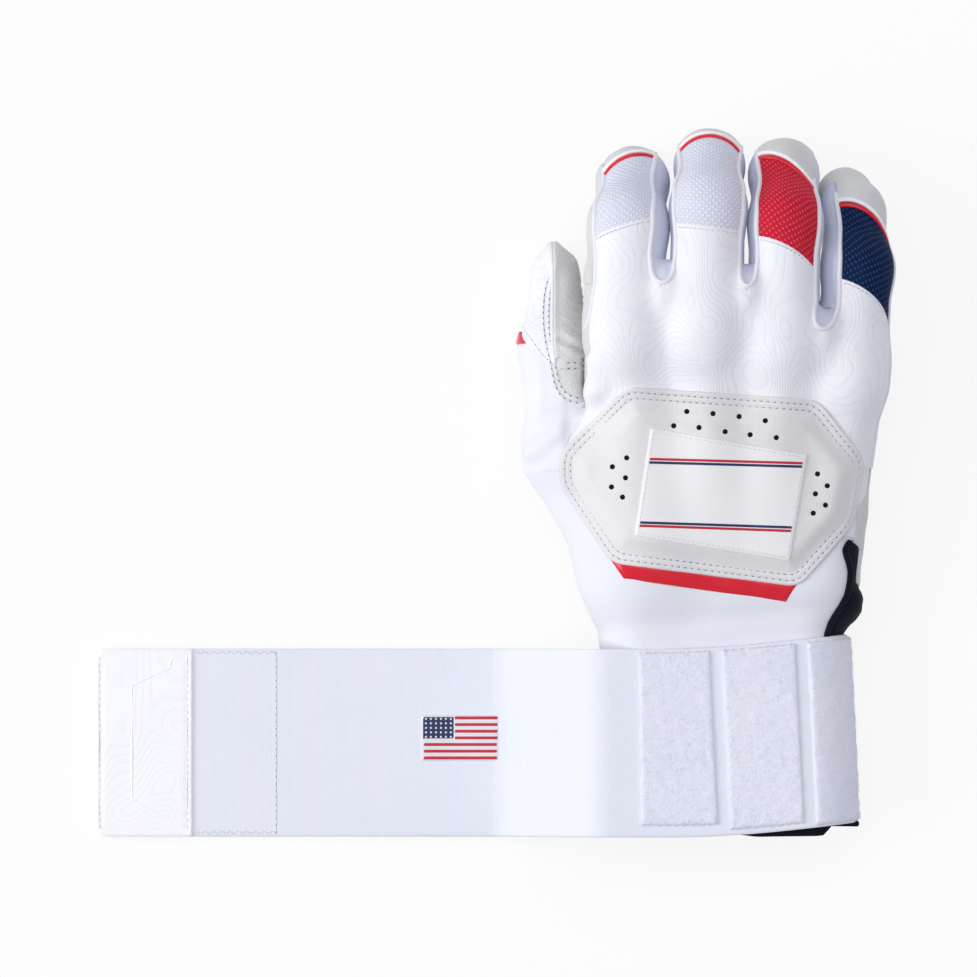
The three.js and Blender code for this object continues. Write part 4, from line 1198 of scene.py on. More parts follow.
@dataclass
class Finger:
    """A finger beyond its knuckle: mesh over the middle joint, red strip, piping, tip and palm side.

    Lengths are in mm: half the strip's and the piping's width, how far the mesh reaches under the
    leather, and how far the leather is rolled out on the finger's outer side.
    """

    digit: Digit
    knit: Finish
    strip: float = 0.85
    piping: float = 0.8
    tuck: float = 1.5
    side_roll: float = 0.0

    def __post_init__(self) -> None:
        """Finds the form, the columns of the back and the stretch between the mesh's seams."""
        self.name = self.digit.name
        self.form = HAND.with_digit(self.digit)
        self.t = graded(26, 1.1)
        self.angles = lerp(*self.digit.back, self.t)
        at, _, tangent, _ = self.digit.frames(np.array(CREASE))
        near = ((self.across(self.mesh_edge(0)) - at) @ tangent).max()
        far = ((self.across(self.strip_edge(0)) - at) @ tangent).min()
        self.start, self.end = metres(at + tangent * near), metres(at + tangent * max(far, near + 8))

    def mesh_edge(self, beyond: float) -> Points:
        """s of the mesh's lower seam, or of a line some mm beyond it."""
        return through(self.digit.mesh, self.t) + self.digit.in_s(1, beyond)

    def strip_edge(self, beyond: float) -> Points:
        """s of the mesh's upper seam, or of a line some mm beyond it."""
        return through(self.digit.strip, self.t) + self.digit.in_s(2, beyond)

    def across(self, s: Points) -> Points:
        """Points over the finger's back, at s for each column."""
        return self.digit.on(s, self.angles, self.form)

    def bend(self, made: Object) -> None:
        """Puts a piece's transform into its mesh; it does not bend with the finger."""
        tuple(self.start)
        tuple(self.end)
        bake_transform(made)

    def normals(self, path: Points) -> Points:
        """Normals along a path on the finger."""
        return gradient(path, self.form)

    def build(self) -> None:
        """Builds and dresses every piece of the finger."""
        self.build_mesh()
        self.build_strips()
        self.build_tip()
        self.build_front()
        row = self.across(self.mesh_edge(-1.25))[4:-4]
        seam = FINE_STITCHES.row(row, self.normals(row), 0.36)
        piece(f"{self.name}_mesh_stitches", seam, THREAD, HOLE_SHADE, body="hand")

    def build_mesh(self) -> None:
        """The mesh: a sheet between the seams, tucked under both, and a little full between them."""
        f = graded(32, 1.0)[:, None]
        grid = self.across(lerp(self.mesh_edge(-self.tuck), self.strip_edge(0.6), f))
        sheet = Sheet(Patch(grid, self.form))
        full = sheet.inside(7)
        solid = sheet.solid(KNIT_IN, sheet.rolled(0.05 + 0.45 * full, 1.2, 0.5))
        made = piece(f"{self.name}_mesh_panel", solid, self.knit, cad=f"{self.name}_mesh")
        self.bend(made)
        sheet.declare()

    def build_strips(self) -> None:
        """The red strip and the white piping: flattened tubes across the finger."""
        rows = (
            ("accent", 0.8, self.strip, 0.55, RED_FILM),
            ("piping", 2.25, self.piping, 0.9, PIPING_LEATHER),
        )
        for part, beyond, radius, flatten, finish in rows:
            path = self.across(self.strip_edge(beyond))
            up = self.normals(path)
            solid = tube(path + up * 0.1, up, radius, flatten=flatten)
            name = f"{self.name}_{part}"
            piece(f"{name}_strip", solid, finish, cad=name, body=f"{self.name}_end")

    def build_tip(self) -> None:
        """The tip: leather over the end of the finger and back to the piping, with small creases."""
        rest = steps(26, self.digit.back[1], self.digit.back[0] + 360)[1:-1]
        ring = np.concatenate([self.angles, rest])
        s = np.concatenate([[CAP_EDGE, CAP_EDGE + 0.03, CAP_EDGE + 0.08], steps(24, CAP_EDGE + 0.14, 5)])
        cap = self.digit.on(s[:, None], ring[None], self.form)
        edge = np.full(len(self.t), CAP_EDGE)
        over = self.across(lerp(self.strip_edge(2.7), edge, graded(16, 1.0)[:, None]))
        sheet = Sheet(Patch(over, self.form), Patch(cap, self.form, closed=True))
        creases = 0.16 * ripples(sheet.points, 7, 3) * sheet.inside(4)
        solid = sheet.solid(LEATHER_IN, sheet.rolled(0.3 + creases, 0.9, 0.6))
        name = f"{self.name}_tip"
        piece(f"{name}_leather", solid, LIT_TIP_LEATHER, cad=name, body=f"{self.name}_end")

    def build_front(self) -> None:
        """The leather under the finger from the web to the tip."""
        t = graded(30, 1.6)
        low = lerp(*self.digit.web[::-1], t) + WEB_LIFT - self.digit.in_s(1, 1.2)
        s = lerp(low, np.full(len(t), CAP_EDGE + 0.04), graded(70, 1.6)[:, None])
        angles = lerp(*self.digit.palm, t)
        sheet = Sheet(Patch(self.digit.on(s, angles, self.form), self.form))
        creases = 0.2 * ripples(sheet.points * np.array([0.35, 1, 1]), 6, 5)
        creases = creases * sheet.inside(3)
        roll = self.side_roll * ramp(-sheet.normals[:, 0], 0.75, 0.97)
        roll = roll * lerp(1.0, 0.35, ramp(sheet.points[:, 1], 157, 166))
        solid = sheet.solid(LEATHER_IN, sheet.rolled(0.1 + creases + roll, 0.9, 0.5))
        self.bend(piece(f"{self.name}_front_leather", solid, PALM_LEATHER, cad="palm_leather"))


def notch_curve(
    a: Points, b: Points, notch: tuple[float, float], find: Callable[[Points, Form], Points], count: int
) -> Points:
    """A U on the hand's bridged form: a cubic curve as seen from above, joined to both ends.

    Args:
        a: Where it starts.
        b: Where it ends.
        notch: Its lowest place, as x and y.
        find: drop for the hand's back, or rise for its palm.
        count: Its steps.

    Returns:
        The curve's points.
    """
    deep = ((a[1] + b[1]) / 2 - notch[1]) / 0.75
    side = (notch[0] - (a[0] + b[0]) / 2) / 0.75
    t = steps(count)[:, None]
    turn = np.array([side, -deep])
    flat = (1 - t) ** 3 * a[:2] + 3 * t * (1 - t) ** 2 * (a[:2] + turn)
    flat = flat + 3 * t * t * (1 - t) * (b[:2] + turn) + t**3 * b[:2]
    path = find(flat, HAND.bridged)
    near = (2 * np.abs(t - 0.5)) ** 6
    path = path * (1 - near) + (a * (1 - t) + b * t) * near
    path[0], path[-1] = a, b
    return path


@dataclass
class Fourchette:
    """The strip between two fingers: the side of one, the web and the side of the next.

    welt is the radius of its rolled seams, side_rows and web_rows count the rows of a side and of the
    web, and side_end is the sides' end in s.
    """

    left: Finger
    right: Finger
    notch: tuple[float, float]
    palm_notch: tuple[float, float]
    welt: float = 0.9
    side_rows: int = 44
    web_rows: int = 24
    side_end: float = CAP_EDGE + 0.05

    def form(self, p: Points) -> Points:
        """The hand and both fingers, rounded a little where they meet."""
        return smooth_min(HAND.hand(p), np.minimum(self.left.form(p), self.right.form(p)), 3)

    def build(self) -> None:
        """Builds two halves that meet in the web, one for each finger, and their welts."""
        a, b = self.left.digit, self.right.digit
        f, g = steps(self.side_rows)[:, None], graded(18, 1.6)
        s_a, s_b = (lerp(low + WEB_LIFT, self.side_end, f) for low in (a.web[1], b.web[0]))
        side_a = a.on(s_a, lerp(a.back[1], a.palm[0], g)[None], self.left.form)
        side_b = b.on(s_b, lerp(b.back[0], b.palm[1] - 360, g)[None], self.right.form)
        web = self.web(side_a[0], side_b[0], g)
        name = f"fourchette_{a.name}_{b.name}"
        middle = len(web) // 2
        halves = ((self.left, side_a, web[: middle + 1]), (self.right, side_b, web[middle:]))
        for finger, side, part in halves:
            solid = Sheet(Patch(side, finger.form), Patch(part, self.form)).solid(-1.1, -0.1)
            finger.bend(piece(f"{name}_{finger.name}_side", solid, SHADED_SIDE_LEATHER, cad=name))
        # The edges on the back are one line, on which two welts overlap beside its lowest place.
        ends = [side_a[self.shown(a, 1) :: -1, 0], web[1:-1, 0], side_b[: self.shown(b, 0) + 1, 0]]
        line = soften(resample(np.concatenate(ends), 0.7), 3)
        cut = int(np.argmin(line[:, 1])) + 7
        welts = (
            (self.left, line[: cut + 5], -1, (0.3, 1, 1, 1)),
            (self.right, line[cut - 4 :], 1, (0.3, 0.85, 0.92, 1)),
        )
        for finger, path, end, shares in welts:
            up = gradient(path, HAND.bridged)
            thin = np.interp(np.arange(len(path))[::end], (0, 3, 5, 9), shares)
            solid = tube(path + up * 0.2, up, self.welt * thin)
            finger.bend(piece(f"{name}_{finger.name}_welt", solid, PLAIN_LEATHER, cad=name))

    def shown(self, digit: Digit, side: int) -> int:
        """The row of a side at which its welt ends, a little beyond the red strip.

        Args:
            digit: The finger.
            side: Which of its edges, 0 or 1.

        Returns:
            The row's number.
        """
        low = digit.web[side] + WEB_LIFT
        end = digit.strip[-side] + digit.in_s(2, 5)
        return int(round((end - low) / (self.side_end - low) * self.side_rows))

    def web(self, row_a: Points, row_b: Points, g: Points) -> Points:
        """The web between two sides, from the back's round notch down to the palm's.

        Args:
            row_a: The first side's first row.
            row_b: The second side's.
            g: The columns' places.

        Returns:
            A grid from one row to the other.
        """
        f = steps(self.web_rows)[:, None, None]
        base = lerp(row_a[None], row_b[None], f) + np.array([0, 6, 0]) * f * (1 - f)
        top = notch_curve(row_a[0], row_b[0], self.notch, drop, self.web_rows)[:, None]
        low = notch_curve(row_a[-1], row_b[-1], self.palm_notch, rise, self.web_rows)[:, None]
        share = [(1 - g)[None, :, None] ** 5, g[None, :, None] ** 5]
        web = base + share[0] * (top - base) + share[1] * (low - base)
        web[0], web[-1] = row_a, row_b
        return web


def drawn_to(grid: Points, sides: Sequence[Points], t: Points) -> Points:
    """Draws a grid's two outer columns to given sides, and those between them by less.

    Args:
        grid: Rows of points.
        sides: Where its first and its last column go.
        t: Each column's place, from 0 to 1.

    Returns:
        The moved grid.
    """
    shift = [(side - grid[:, end])[:, None] for side, end in zip(sides, (0, -1))]
    return grid + shift[0] * (1 - t)[None, :, None] ** 2 + shift[1] * t[None, :, None] ** 2


@dataclass
class BackPanel:
    """The white leather on the back of the hand: four lobes, joined below the fingers' notches."""

    fingers: Sequence[Finger]
    height: float = 0.35
    side_roll: float = 4.4
    rows: tuple[int, int] = (34, 9)

    def corner(self, i: int) -> Points:
        """A place on the lower seam, between two lobes.

        Args:
            i: Its number, from the index finger.

        Returns:
            The point.
        """
        if i < len(BACK_SPLITS):
            return drop(np.array([BACK_SPLITS[i], BACK_SEAM_Y]), HAND.whole)
        return HAND.around(BACK_SEAM_Y, 14)

    def patch(self, i: int) -> Patch:
        """One lobe's grid, from the lower seam to the mesh. Its sides follow the notches beside it.

        Args:
            i: The lobe's number, from the index finger.

        Returns:
            The grid on the hand's bridged form.
        """
        finger = self.fingers[i]
        digit, t = finger.digit, finger.t
        web = lerp(*digit.web, t) + WEB_LIFT
        start = finger.across(web)
        sides = []
        for k, end in ((i - 1, 0), (i, -1)):
            if not 0 <= k < 3:
                low = digit.on(1.2 if end == 0 else 1.1, digit.back[end], finger.form)
                sides.append(snap(lerp(low, start[end], steps(self.rows[1])[:, None]), finger.form))
                continue
            a, b = self.fingers[k].digit, self.fingers[k + 1].digit
            left = a.on(a.web[1] + WEB_LIFT, a.back[1], self.fingers[k].form)
            right = b.on(b.web[0] + WEB_LIFT, b.back[0], self.fingers[k + 1].form)
            curve = notch_curve(left, right, NOTCHES[k], drop, 2 * self.rows[1])
            sides.append(curve[self.rows[1] :] if end == 0 else curve[self.rows[1] :: -1])
        keys = []
        for a, b in ((self.corner(i), self.corner(i + 1)), (sides[0][0], sides[1][0])):
            row = drop(lerp(a, b, t[:, None]), HAND.bridged)
            row[0], row[-1] = a, b
            keys.append(row)
        low = lerp(keys[0], keys[1], steps(self.rows[0])[:-1, None, None])
        if i == 0:
            s = steps(self.rows[0], 0.45, 1.2)[:-1]
            turn = np.interp(s, (0.45, 0.6, 0.67), (-83.0, -94.0, -108.0))
            side = digit.on(s, lerp(turn, digit.back[0], ramp(s, 0.85, 1.2)), HAND.bridged)
            low = low + (side - low[:, 0])[:, None] * (1 - t)[None, :, None] ** 3
        low = snap(low, HAND.bridged)
        low[0, 1:] = keys[0][1:]
        f = steps(self.rows[1])[:, None, None]
        root = drawn_to(lerp(keys[1], start, f), sides, t)
        root[1:-1, 1:-1] = snap(root[1:-1, 1:-1], HAND.bridged)
        lobe = finger.across(lerp(web, finger.mesh_edge(0), graded(16, 1.2)[:, None]))
        return Patch(np.concatenate([low, root[:-1], lobe]), HAND.bridged)

    def build(self) -> None:
        """Builds the panel and the welts along its two outer edges."""
        patches = [self.patch(i) for i in range(4)]
        joint = self.rows[0] + 1
        for a, b in zip(patches, patches[1:]):
            b.points[:joint, 0] = a.points[:joint, -1]
        sheet = Sheet(*patches)
        y = sheet.points[:, 1]
        wave = 0.14 * ripples(sheet.points, 16, 7) * sheet.inside(5)
        # Distance from the pad's edge beside the thumb, from (-60.3, 98) to (-38, 120).
        clear = ((y - 98) * 22.3 - (sheet.points[:, 0] + 60.3) * 22) / 31.3
        side = ramp(-sheet.normals[:, 0], 0.5, 0.97) * ramp(clear, 0, 5)
        wave = wave + self.side_roll * (side * (1 - ramp(y, 119, 133)))
        solid = sheet.solid(LEATHER_IN, sheet.rolled(self.height + wave, 1.0, 0.7))
        piece("back_panel_leather", solid, WHITE_LEATHER, cad="back_panel", body="hand")
        for i, end in ((0, 0), (3, -1)):
            finger, path = self.fingers[i], patches[i].points[:, end]
            above = finger.digit.on(self.above(finger, end), finger.angles[end], finger.form)
            line = soften(resample(np.concatenate([path, above]), 0.8), 4)
            line = snap(line, finger.form, 3)
            up = gradient(line, finger.form)
            welt = tube(line + up * 0.1, up, 0.8)
            name = f"{finger.name}_edge_welt"
            finger.bend(piece(name, welt, PLAIN_LEATHER, cad="palm_leather"))

    def above(self, finger: Finger, end: int) -> Points:
        """s of the outer edge beyond the mesh's lower seam, to a little past the red strip."""
        digit = finger.digit
        return np.linspace(digit.mesh[end], digit.strip[end] + digit.in_s(2, 5), 30)[1:]


@dataclass
class Wrist:
    """The hand's lower half: wrist fabric, palm, navy gusset with its binding, and lining.

    inner and outer are the gusset's sides as seen from above, as x for each y of levels, and lobe_rows
    counts the rows of a palm lobe, up to the notches and beside them.
    """

    fingers: Sequence[Finger]
    cuff_y: float = -26.5
    hem_y: float = -31.6
    lobe_rows: tuple[int, int] = (24, 7)
    levels: Row = (36.8, 40.6, 43.0, 46.3, 49.7, 52.5, 55.0, 58.0, 61.0, 63.3, 65.2, 66.8, 68.0)
    inner: Row = (29.5, 30.7, 32.0, 34.2, 36.0, 36.7, 37.1, 37.3, 36.8, 36.0, 35.6, 36.3, 37.3)
    outer: Row = (35.3, 37.6, 39.6, 41.6, 41.6, 39.8, 39.6, 40.2, 41.0, 41.3, 40.6, 39.5, 37.8)

    def build(self) -> None:
        """Builds and dresses every piece."""
        self.build_gusset()
        self.build_fabric()
        self.build_palm()
        self.build_side()
        self.build_lining()

    def slit(self, y: Points, sides: Sequence[float] | None = None) -> tuple[Points, Points]:
        """An edge of the slit in the wrist's back.

        Args:
            y: Places along the hand.
            sides: x of the edge at each level, or of the inner one.

        Returns:
            The edge's points, and their angles round the wrist.
        """
        y = np.asarray(y, float)
        most = HAND.around(y, 0.0, HAND.hand)[..., 0] - 0.4
        at = place(np.minimum(np.interp(y, self.levels, sides or self.inner), most), y)
        edge = drop(at, HAND.hand)
        x = edge[..., 0] + 4 + np.maximum(0, y - 40) * 0.06
        z = edge[..., 2] - HAND.cuff_z - np.maximum(0, y - 50) * 0.26
        return edge, np.degrees(np.arctan2(2 * z, x))

    def build_gusset(self) -> None:
        """The gusset: a navy sheet from the slit to the palm, pushed out as a fold of slack cloth."""
        y = graded(38, 0.9) * 37.5 + 30.5
        _, top = self.slit(y)
        f = graded(30, 1.2)
        grid = HAND.around(y[:, None], lerp(top[:, None], -34.0, f), HAND.hand)
        side = HAND.around(y, 0.0, HAND.hand)[:, 0]
        out = np.maximum(np.interp(y, self.levels, self.outer) - side, 0)
        out = out * ramp(y, 30.5, 34) * (1 - ramp(y, 51, 54))
        push = out[:, None] * np.sin(np.pi * np.clip(f * 1.15, 0, 1)) ** 0.8
        normals = gradient(grid, HAND.hand)
        sheet = Sheet(Patch(grid + normals * push[..., None], normals=normals))
        folds = 0.25 * ripples(sheet.points, 7, 11)
        solid = sheet.solid(-1.0, sheet.rolled(0.2 + folds, 1.2, 0.6))
        made = piece("gusset_cloth", solid, NAVY_CLOTH, cad="cuff_gusset", body="hand")
        sheet.declare()
        path, _ = self.slit(steps(56, 31, 68.0))
        up = gradient(path, HAND.hand)
        roll = tube(path + up * 0.5, up, 1.15, 12, 0.85)
        piece("gusset_binding_roll", roll, NAVY_CLOTH, cad="gusset_binding", body="hand")

    def build_fabric(self) -> None:
        """The wrist's fabric, from the cuff to the pad, open at the slit, with ripples and creases."""
        y = np.concatenate([steps(52, self.cuff_y, 68.0), steps(20, 68.6, BACK_SEAM_Y + 1.2)])
        start = np.interp(y, (29, 33.5), (-8.0, 60.0))
        _, slit = self.slit(y)
        start = np.where(y > 29, np.minimum(start, slit), start)
        beyond = np.interp(y, (70, 80, 88), (20.0, 20.0, 14.0))
        start = lerp(start, beyond, np.interp(y, (68, 70), (0.0, 1.0)))
        end = np.interp(y, (37.5, 67, 71, BACK_SEAM_Y), (192.5, 194.5, 203.0, 213.0))
        grid = HAND.around(y[:, None], lerp(end[:, None], start[:, None], graded(90, 1.3)))
        sheet = Sheet(Patch(grid, HAND.whole))
        x, level = sheet.points[:, 0], sheet.points[:, 1]
        soft = 0.35 * ripples(sheet.points * np.array([0.6, 1, 1]), 20, 13)
        crease = 0.5 * bell(level - 38, 0.12 * x, 3.2) - 0.35 * bell(level - 43, 0.1 * x, 2.6)
        high = sheet.rolled(0.05 + (soft + crease) * sheet.inside(6), 1.0, 0.5)
        solid = sheet.solid(KNIT_IN, high)
        made = piece("wrist_fabric", solid, JERSEY, cad="wrist_panel", body="hand")
        sheet.declare()

    def build_palm(self) -> None:
        """The palm leather: the heel, then four lobes that reach under the fingers' own leather."""
        y = np.concatenate([steps(26, -27, 46), steps(28, 47, 70), steps(7, 72, 88)])
        _, slit = self.slit(y, self.outer)
        start = lerp(np.interp(y, (29, 33), (-10.5, -34)), slit, np.interp(y, (48, 54), (0.0, 1.0)))
        beyond = np.interp(y, (70, 80, 88), (28.0, 28.0, 12.0))
        start = lerp(start, beyond, np.interp(y, (67.5, 69.5), (0.0, 1.0)))
        end = np.interp(y, (37.5, 67, 71, 88), (-169.5, -167.5, -160.0, -150.0))
        lobes = [f.t for f in self.fingers]
        columns = np.concatenate([(i + t[:-1]) / 4 for i, t in enumerate(lobes)] + [[1.0]])
        heel = HAND.around(y[:, None], lerp(end[:, None], start[:, None], columns))
        patches = [Patch(heel, HAND.whole)] + self.palm_lobes(heel[-1])
        joint = self.lobe_rows[0] + 1
        for a, b in zip(patches[1:], patches[2:]):
            b.points[:joint, 0] = a.points[:joint, -1]
        sheet = Sheet(*patches)
        creases = 0.3 * ripples(sheet.points, 13, 17) * sheet.inside(5)
        x, level, z = sheet.points.T
        lap = 0.7 * ramp(x, 30, 36) * ramp(level, 47, 52)
        lap = lap * (1 - ramp(level, 74, 84))
        sunk = ramp(z, 19, 24) * ramp(-x, 47, 50) * ramp(level, 100, 106)
        sunk = 2.3 * sunk * (1 - ramp(level, 134, 140))
        high = sheet.rolled(0.15 + creases + lap, 1.0, 0.5) - sunk
        solid = sheet.solid(LEATHER_IN - sunk, high)
        piece("palm_panel_leather", solid, PALM_LEATHER, cad="palm_leather", body="hand")
        edges = ((56, -24, 18), (70, -30, 24), (86, -28, 26))
        rows = [rise(place(np.linspace(a, b, 36), v), HAND.whole) for v, a, b in edges]
        f = steps(30)[:, None, None]
        grid = np.where(f < 0.5, lerp(rows[0], rows[1], 2 * f), lerp(rows[1], rows[2], 2 * f - 1))
        over = Sheet(Patch(snap(grid, HAND.whole), HAND.whole))
        solid = over.solid(0.3, over.rolled(1.5, 1.0, 0.6))
        piece("palm_overlay_leather", solid, PALM_LEATHER, cad="palm_overlay", body="hand")

    def palm_lobes(self, seam: Points) -> list[Patch]:
        """The palm's lobes, whose sides follow the notches between the fingers.

        Args:
            seam: The heel's last row, which they start from.

        Returns:
            A grid for each finger.
        """
        low_rows, root_rows = self.lobe_rows
        begin, f = 0, steps(root_rows)[:, None]
        curves, patches = [], []
        for a, b, notch in zip(self.fingers, self.fingers[1:], PALM_NOTCHES):
            low_a = a.digit.on(a.digit.web[1] + WEB_LIFT, a.digit.palm[0], a.form)
            low_b = b.digit.on(b.digit.web[0] + WEB_LIFT, b.digit.palm[1], b.form)
            curves.append(notch_curve(low_a, low_b, notch, rise, 2 * root_rows))
        for i, finger in enumerate(self.fingers):
            digit, t, form = finger.digit, finger.t, finger.form
            bottom = seam[begin : begin + len(t)]
            begin += len(t) - 1
            angles = lerp(digit.palm[1], digit.palm[0], t)
            top = digit.on(lerp(*digit.web, t) + WEB_LIFT, angles, form)
            inner, outer = digit.on(1.2, 230, form), digit.on(1.05, digit.palm[0], form)
            left = curves[i - 1][root_rows:] if i else snap(lerp(inner, top[0], f), form)
            right = curves[i][root_rows::-1] if i < 3 else snap(lerp(outer, top[-1], f), form)
            middle = rise(lerp(left[0], right[0], t[:, None]), form)
            middle[0], middle[-1] = left[0], right[0]
            low = snap(lerp(bottom, middle, steps(low_rows)[1:-1, None, None]), HAND.whole)
            high = drawn_to(lerp(middle, top, f[..., None]), (left, right), t)
            high[1:-1, 1:-1] = snap(high[1:-1, 1:-1], form)
            patches.append(Patch(np.concatenate([bottom[None], low, high]), form))
        return patches

    def build_side(self) -> None:
        """The palm leather's strip up the index finger's outer side, rolled out beside the thumb."""
        finger = self.fingers[0]
        s, angles = steps(60, 0.5, finger.digit.web[0] + 0.1), steps(30, 222, 304)
        sheet = Sheet(Patch(finger.digit.on(s[:, None], angles[None], finger.form), finger.form))
        y = sheet.points[:, 1]
        roll = finger.side_roll * ramp(-sheet.normals[:, 0], 0.75, 0.97)
        roll = roll * ramp(y, 121, 131) * lerp(0.45, 0.8, ramp(y, 146, 154))
        solid = sheet.solid(LEATHER_IN, sheet.rolled(roll - 0.1, 1.0, 0.6))
        piece("palm_side_leather", solid, PALM_LEATHER, cad="palm_leather", body="hand")

    def build_lining(self) -> None:
        """The navy lining of the cuff: a ring inside the fabric, whose hem shows below the strap."""
        angles = steps(96, 0, 360)[:-1]
        marks = (0, 8, 14, 25, 38, 70, 95, 250, 320, 360)
        lifts = (3.4, 3.4, 7.0, 6.0, 0.3, 0, 1.6, 1.6, 3.4, 3.4)
        hem = self.hem_y + np.interp(angles, marks, lifts)
        rows = lerp(hem[None], -17.6, graded(14, 1.2)[:, None])
        grid = HAND.around(rows, angles[None], HAND.cuff)
        sheet = Sheet(Patch(grid, HAND.cuff, closed=True))
        x, y, z = sheet.points.T
        turn = np.degrees(np.arctan2(2 * (z - HAND.cuff_z), x + 4))
        flare = 4.6 * bell(turn, 4, 6) * ramp(-y, 24, 27) - 1.3
        high = sheet.rolled(flare + 0.15 * ripples(sheet.points, 9, 19), 1.0, 0.5)
        solid = sheet.solid(flare - 1.1, high)
        made = piece("cuff_lining_cloth", solid, NAVY_CLOTH, cad="cuff_lining", body="hand")


def upright(points: Points) -> Points:
    """Straight up at every point, so that what lies on the pad keeps its place as seen from above."""
    return np.broadcast_to(np.array([0, 0, 1.0]), points.shape)


@dataclass
class Pad:
    """The pad on the back: a cover sewn down round a foam cushion, a label and a red accent.

    Corners are seen from above, in mm. flange is the height of the sewn rim, cushion how far the middle
    rises, and label_size the label's width and height.
    """

    outline: Corners = (
        (-38.0, 120.0), (26.6, 115.5), (42.8, 95.5), (38.9, 73.6),
        (20.4, 52.6), (-43.0, 60.6), (-60.3, 87.0), (-60.3, 98.0),
    )
    centre: tuple[float, float] = (-9.5, 87.0)
    label: Corners = ((-29.7, 106.2), (23.1, 97.2), (17.2, 61.3), (-35.2, 69.9))
    accent: Corners = ((-43.6, 62.4), (20.2, 54.0), (15.9, 47.6), (-38.8, 55.4))
    holes: Corners = (
        (-17.6, 111.7), (-8.8, 111.0), (0.0, 110.0), (8.8, 108.6), (-22.0, 106.9),
        (-13.5, 106.3), (-4.7, 104.9), (3.7, 103.9), (12.5, 102.9), (-37.8, 96.1),
        (-42.6, 93.1), (-38.2, 89.4), (-42.9, 86.3), (-39.2, 82.9), (26.4, 90.7),
        (29.7, 86.7), (25.7, 84.0), (29.1, 80.2), (25.0, 77.5),
    )
    label_size: tuple[float, float] = (53.0, 36.0)
    hole_radius: float = 0.9
    stripe: float = 0.85
    flange: float = 1.5
    cushion: float = 2.6
    seams: tuple[float, float] = (1.7, 3.7)

    def __post_init__(self) -> None:
        """Rounds the outline's corners."""
        corners = np.array(self.outline + self.outline[:1])
        self.line = soften(resample(corners, 1.0)[:-1], 4, closed=True)
        self.rim = drop(self.line, HAND.whole)

    def build(self) -> None:
        """Builds and dresses every piece."""
        self.build_cover()
        self.build_stitches()
        self.build_label()
        self.build_accent()

    def depth(self, points: Points) -> Points:
        """Distance of points to the pad's edge."""
        ends = np.roll(self.rim, -1, axis=0)
        return line_distance(points.reshape(-1, 3), self.rim, ends).reshape(points.shape[:-1])

    def height(self, depth: Points) -> Points:
        """Height of the cover: a flat rim, pulled down along both seams, and a soft shoulder."""
        pulled = sum(0.3 * bell(depth, s, 0.55) for s in self.seams)
        return self.flange - pulled + self.cushion * ramp(depth, 4.2, 10.0)

    def rings(self, scales: Points) -> Points:
        """Copies of the outline on the hand, drawn in to the centre."""
        at = lerp(np.array(self.centre), self.line[None], scales[:, None, None])
        return drop(at, HAND.whole)

    def build_cover(self) -> None:
        """The cover with its perforations, and the dark foam that shows through them."""
        # Rings of the outline, close together at the rolled edge and the seams.
        near = (0, 0.3, 0.7, 1.1, 1.5, 1.9, 2.3, 2.8, 3.3, 3.7, 4.1, 4.6, 5.2, 6, 7, 8, 9, 10.2)
        near = 1 - np.array(near) / 40
        grid = self.rings(np.concatenate([near, np.linspace(near[-1], 0, 34)[1:]]))
        sheet = Sheet(Patch(grid, closed=True, normals=upright(grid)))
        spots = drop(np.array(self.holes), HAND.whole)
        far = np.linalg.norm(sheet.points[:, None] - spots, axis=-1).min(axis=1)
        high = sheet.rolled(self.height(sheet.inset), 0.9, 0.9) - 0.22 * bell(far, 0, 1.7)
        high = high + 0.1 * ripples(sheet.points, 18, 23) * sheet.inside(9)
        made = piece("pad_cover_leather", sheet.solid(0.5, high), GREY_LEATHER)
        self.perforate(made, spots)
        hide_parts("pad_cover")
        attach(made, "hand")
        core = self.rings(np.linspace(0.86, 0, 24))
        inner = Sheet(Patch(core, closed=True, normals=upright(core)))
        top = self.height(self.depth(inner.points)) - 1.15
        solid = inner.solid(0.35, np.maximum(top, 0.5))
        foam = piece("pad_foam_sheet", solid, FOAM, cad="pad_foam")
        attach(foam, "hand")

    def perforate(self, made: Object, spots: Points) -> None:
        """Cuts the perforations with pins, which are then removed.

        Args:
            made: The cover.
            spots: The places of its holes, on the hand.
        """
        way = upright(spots)
        tops = spots + way * (self.flange + self.cushion)
        side = np.cross(way, np.array([0, 1.0, 0]))
        ends = [np.stack([t - w * 2.9, t + w * 2.5]) for t, w in zip(tops, way)]
        pins = [
            tube(resample(e, 9), np.repeat(s[None], 2, axis=0), self.hole_radius, 18)
            for e, s in zip(ends, side)
        ]
        cutter = piece("perforation_pins", joined(pins), FOAM)
        cut = made.modifiers.new("perforations", "BOOLEAN")
        cut.object, cut.operation, cut.solver = cutter, "DIFFERENCE", "EXACT"
        apply_modifiers(made)
        bpy.data.objects.remove(cutter)
        made.data.set_sharp_from_angle(angle=math.radians(50))

    def build_stitches(self) -> None:
        """Two rows of stitches round the rim."""
        along = unit(np.roll(self.line, -1, axis=0) - np.roll(self.line, 1, axis=0))
        inward = np.stack([along[:, 1], -along[:, 0]], -1)
        rows = []
        for seam in self.seams:
            line = self.line + inward * seam
            line = np.concatenate([line, line[:1]])
            path = drop(line, HAND.whole)
            rows.append(STITCHES.row(path, upright(path), self.flange - 0.22))
        piece("pad_stitches", joined(rows), THREAD, HOLE_SHADE, body="hand")

    def over_label(self, u: Points, v: Points) -> Points:
        """Places on the hand under the label.

        Args:
            u: Shares of the way across it.
            v: Shares of the way down it.

        Returns:
            The points.
        """
        a, b, c, d = (np.array(p) for p in self.label)
        u, v = np.broadcast_arrays(u, v)
        at = lerp(lerp(a, b, u[..., None]), lerp(d, c, u[..., None]), v[..., None])
        return drop(at, HAND.whole)

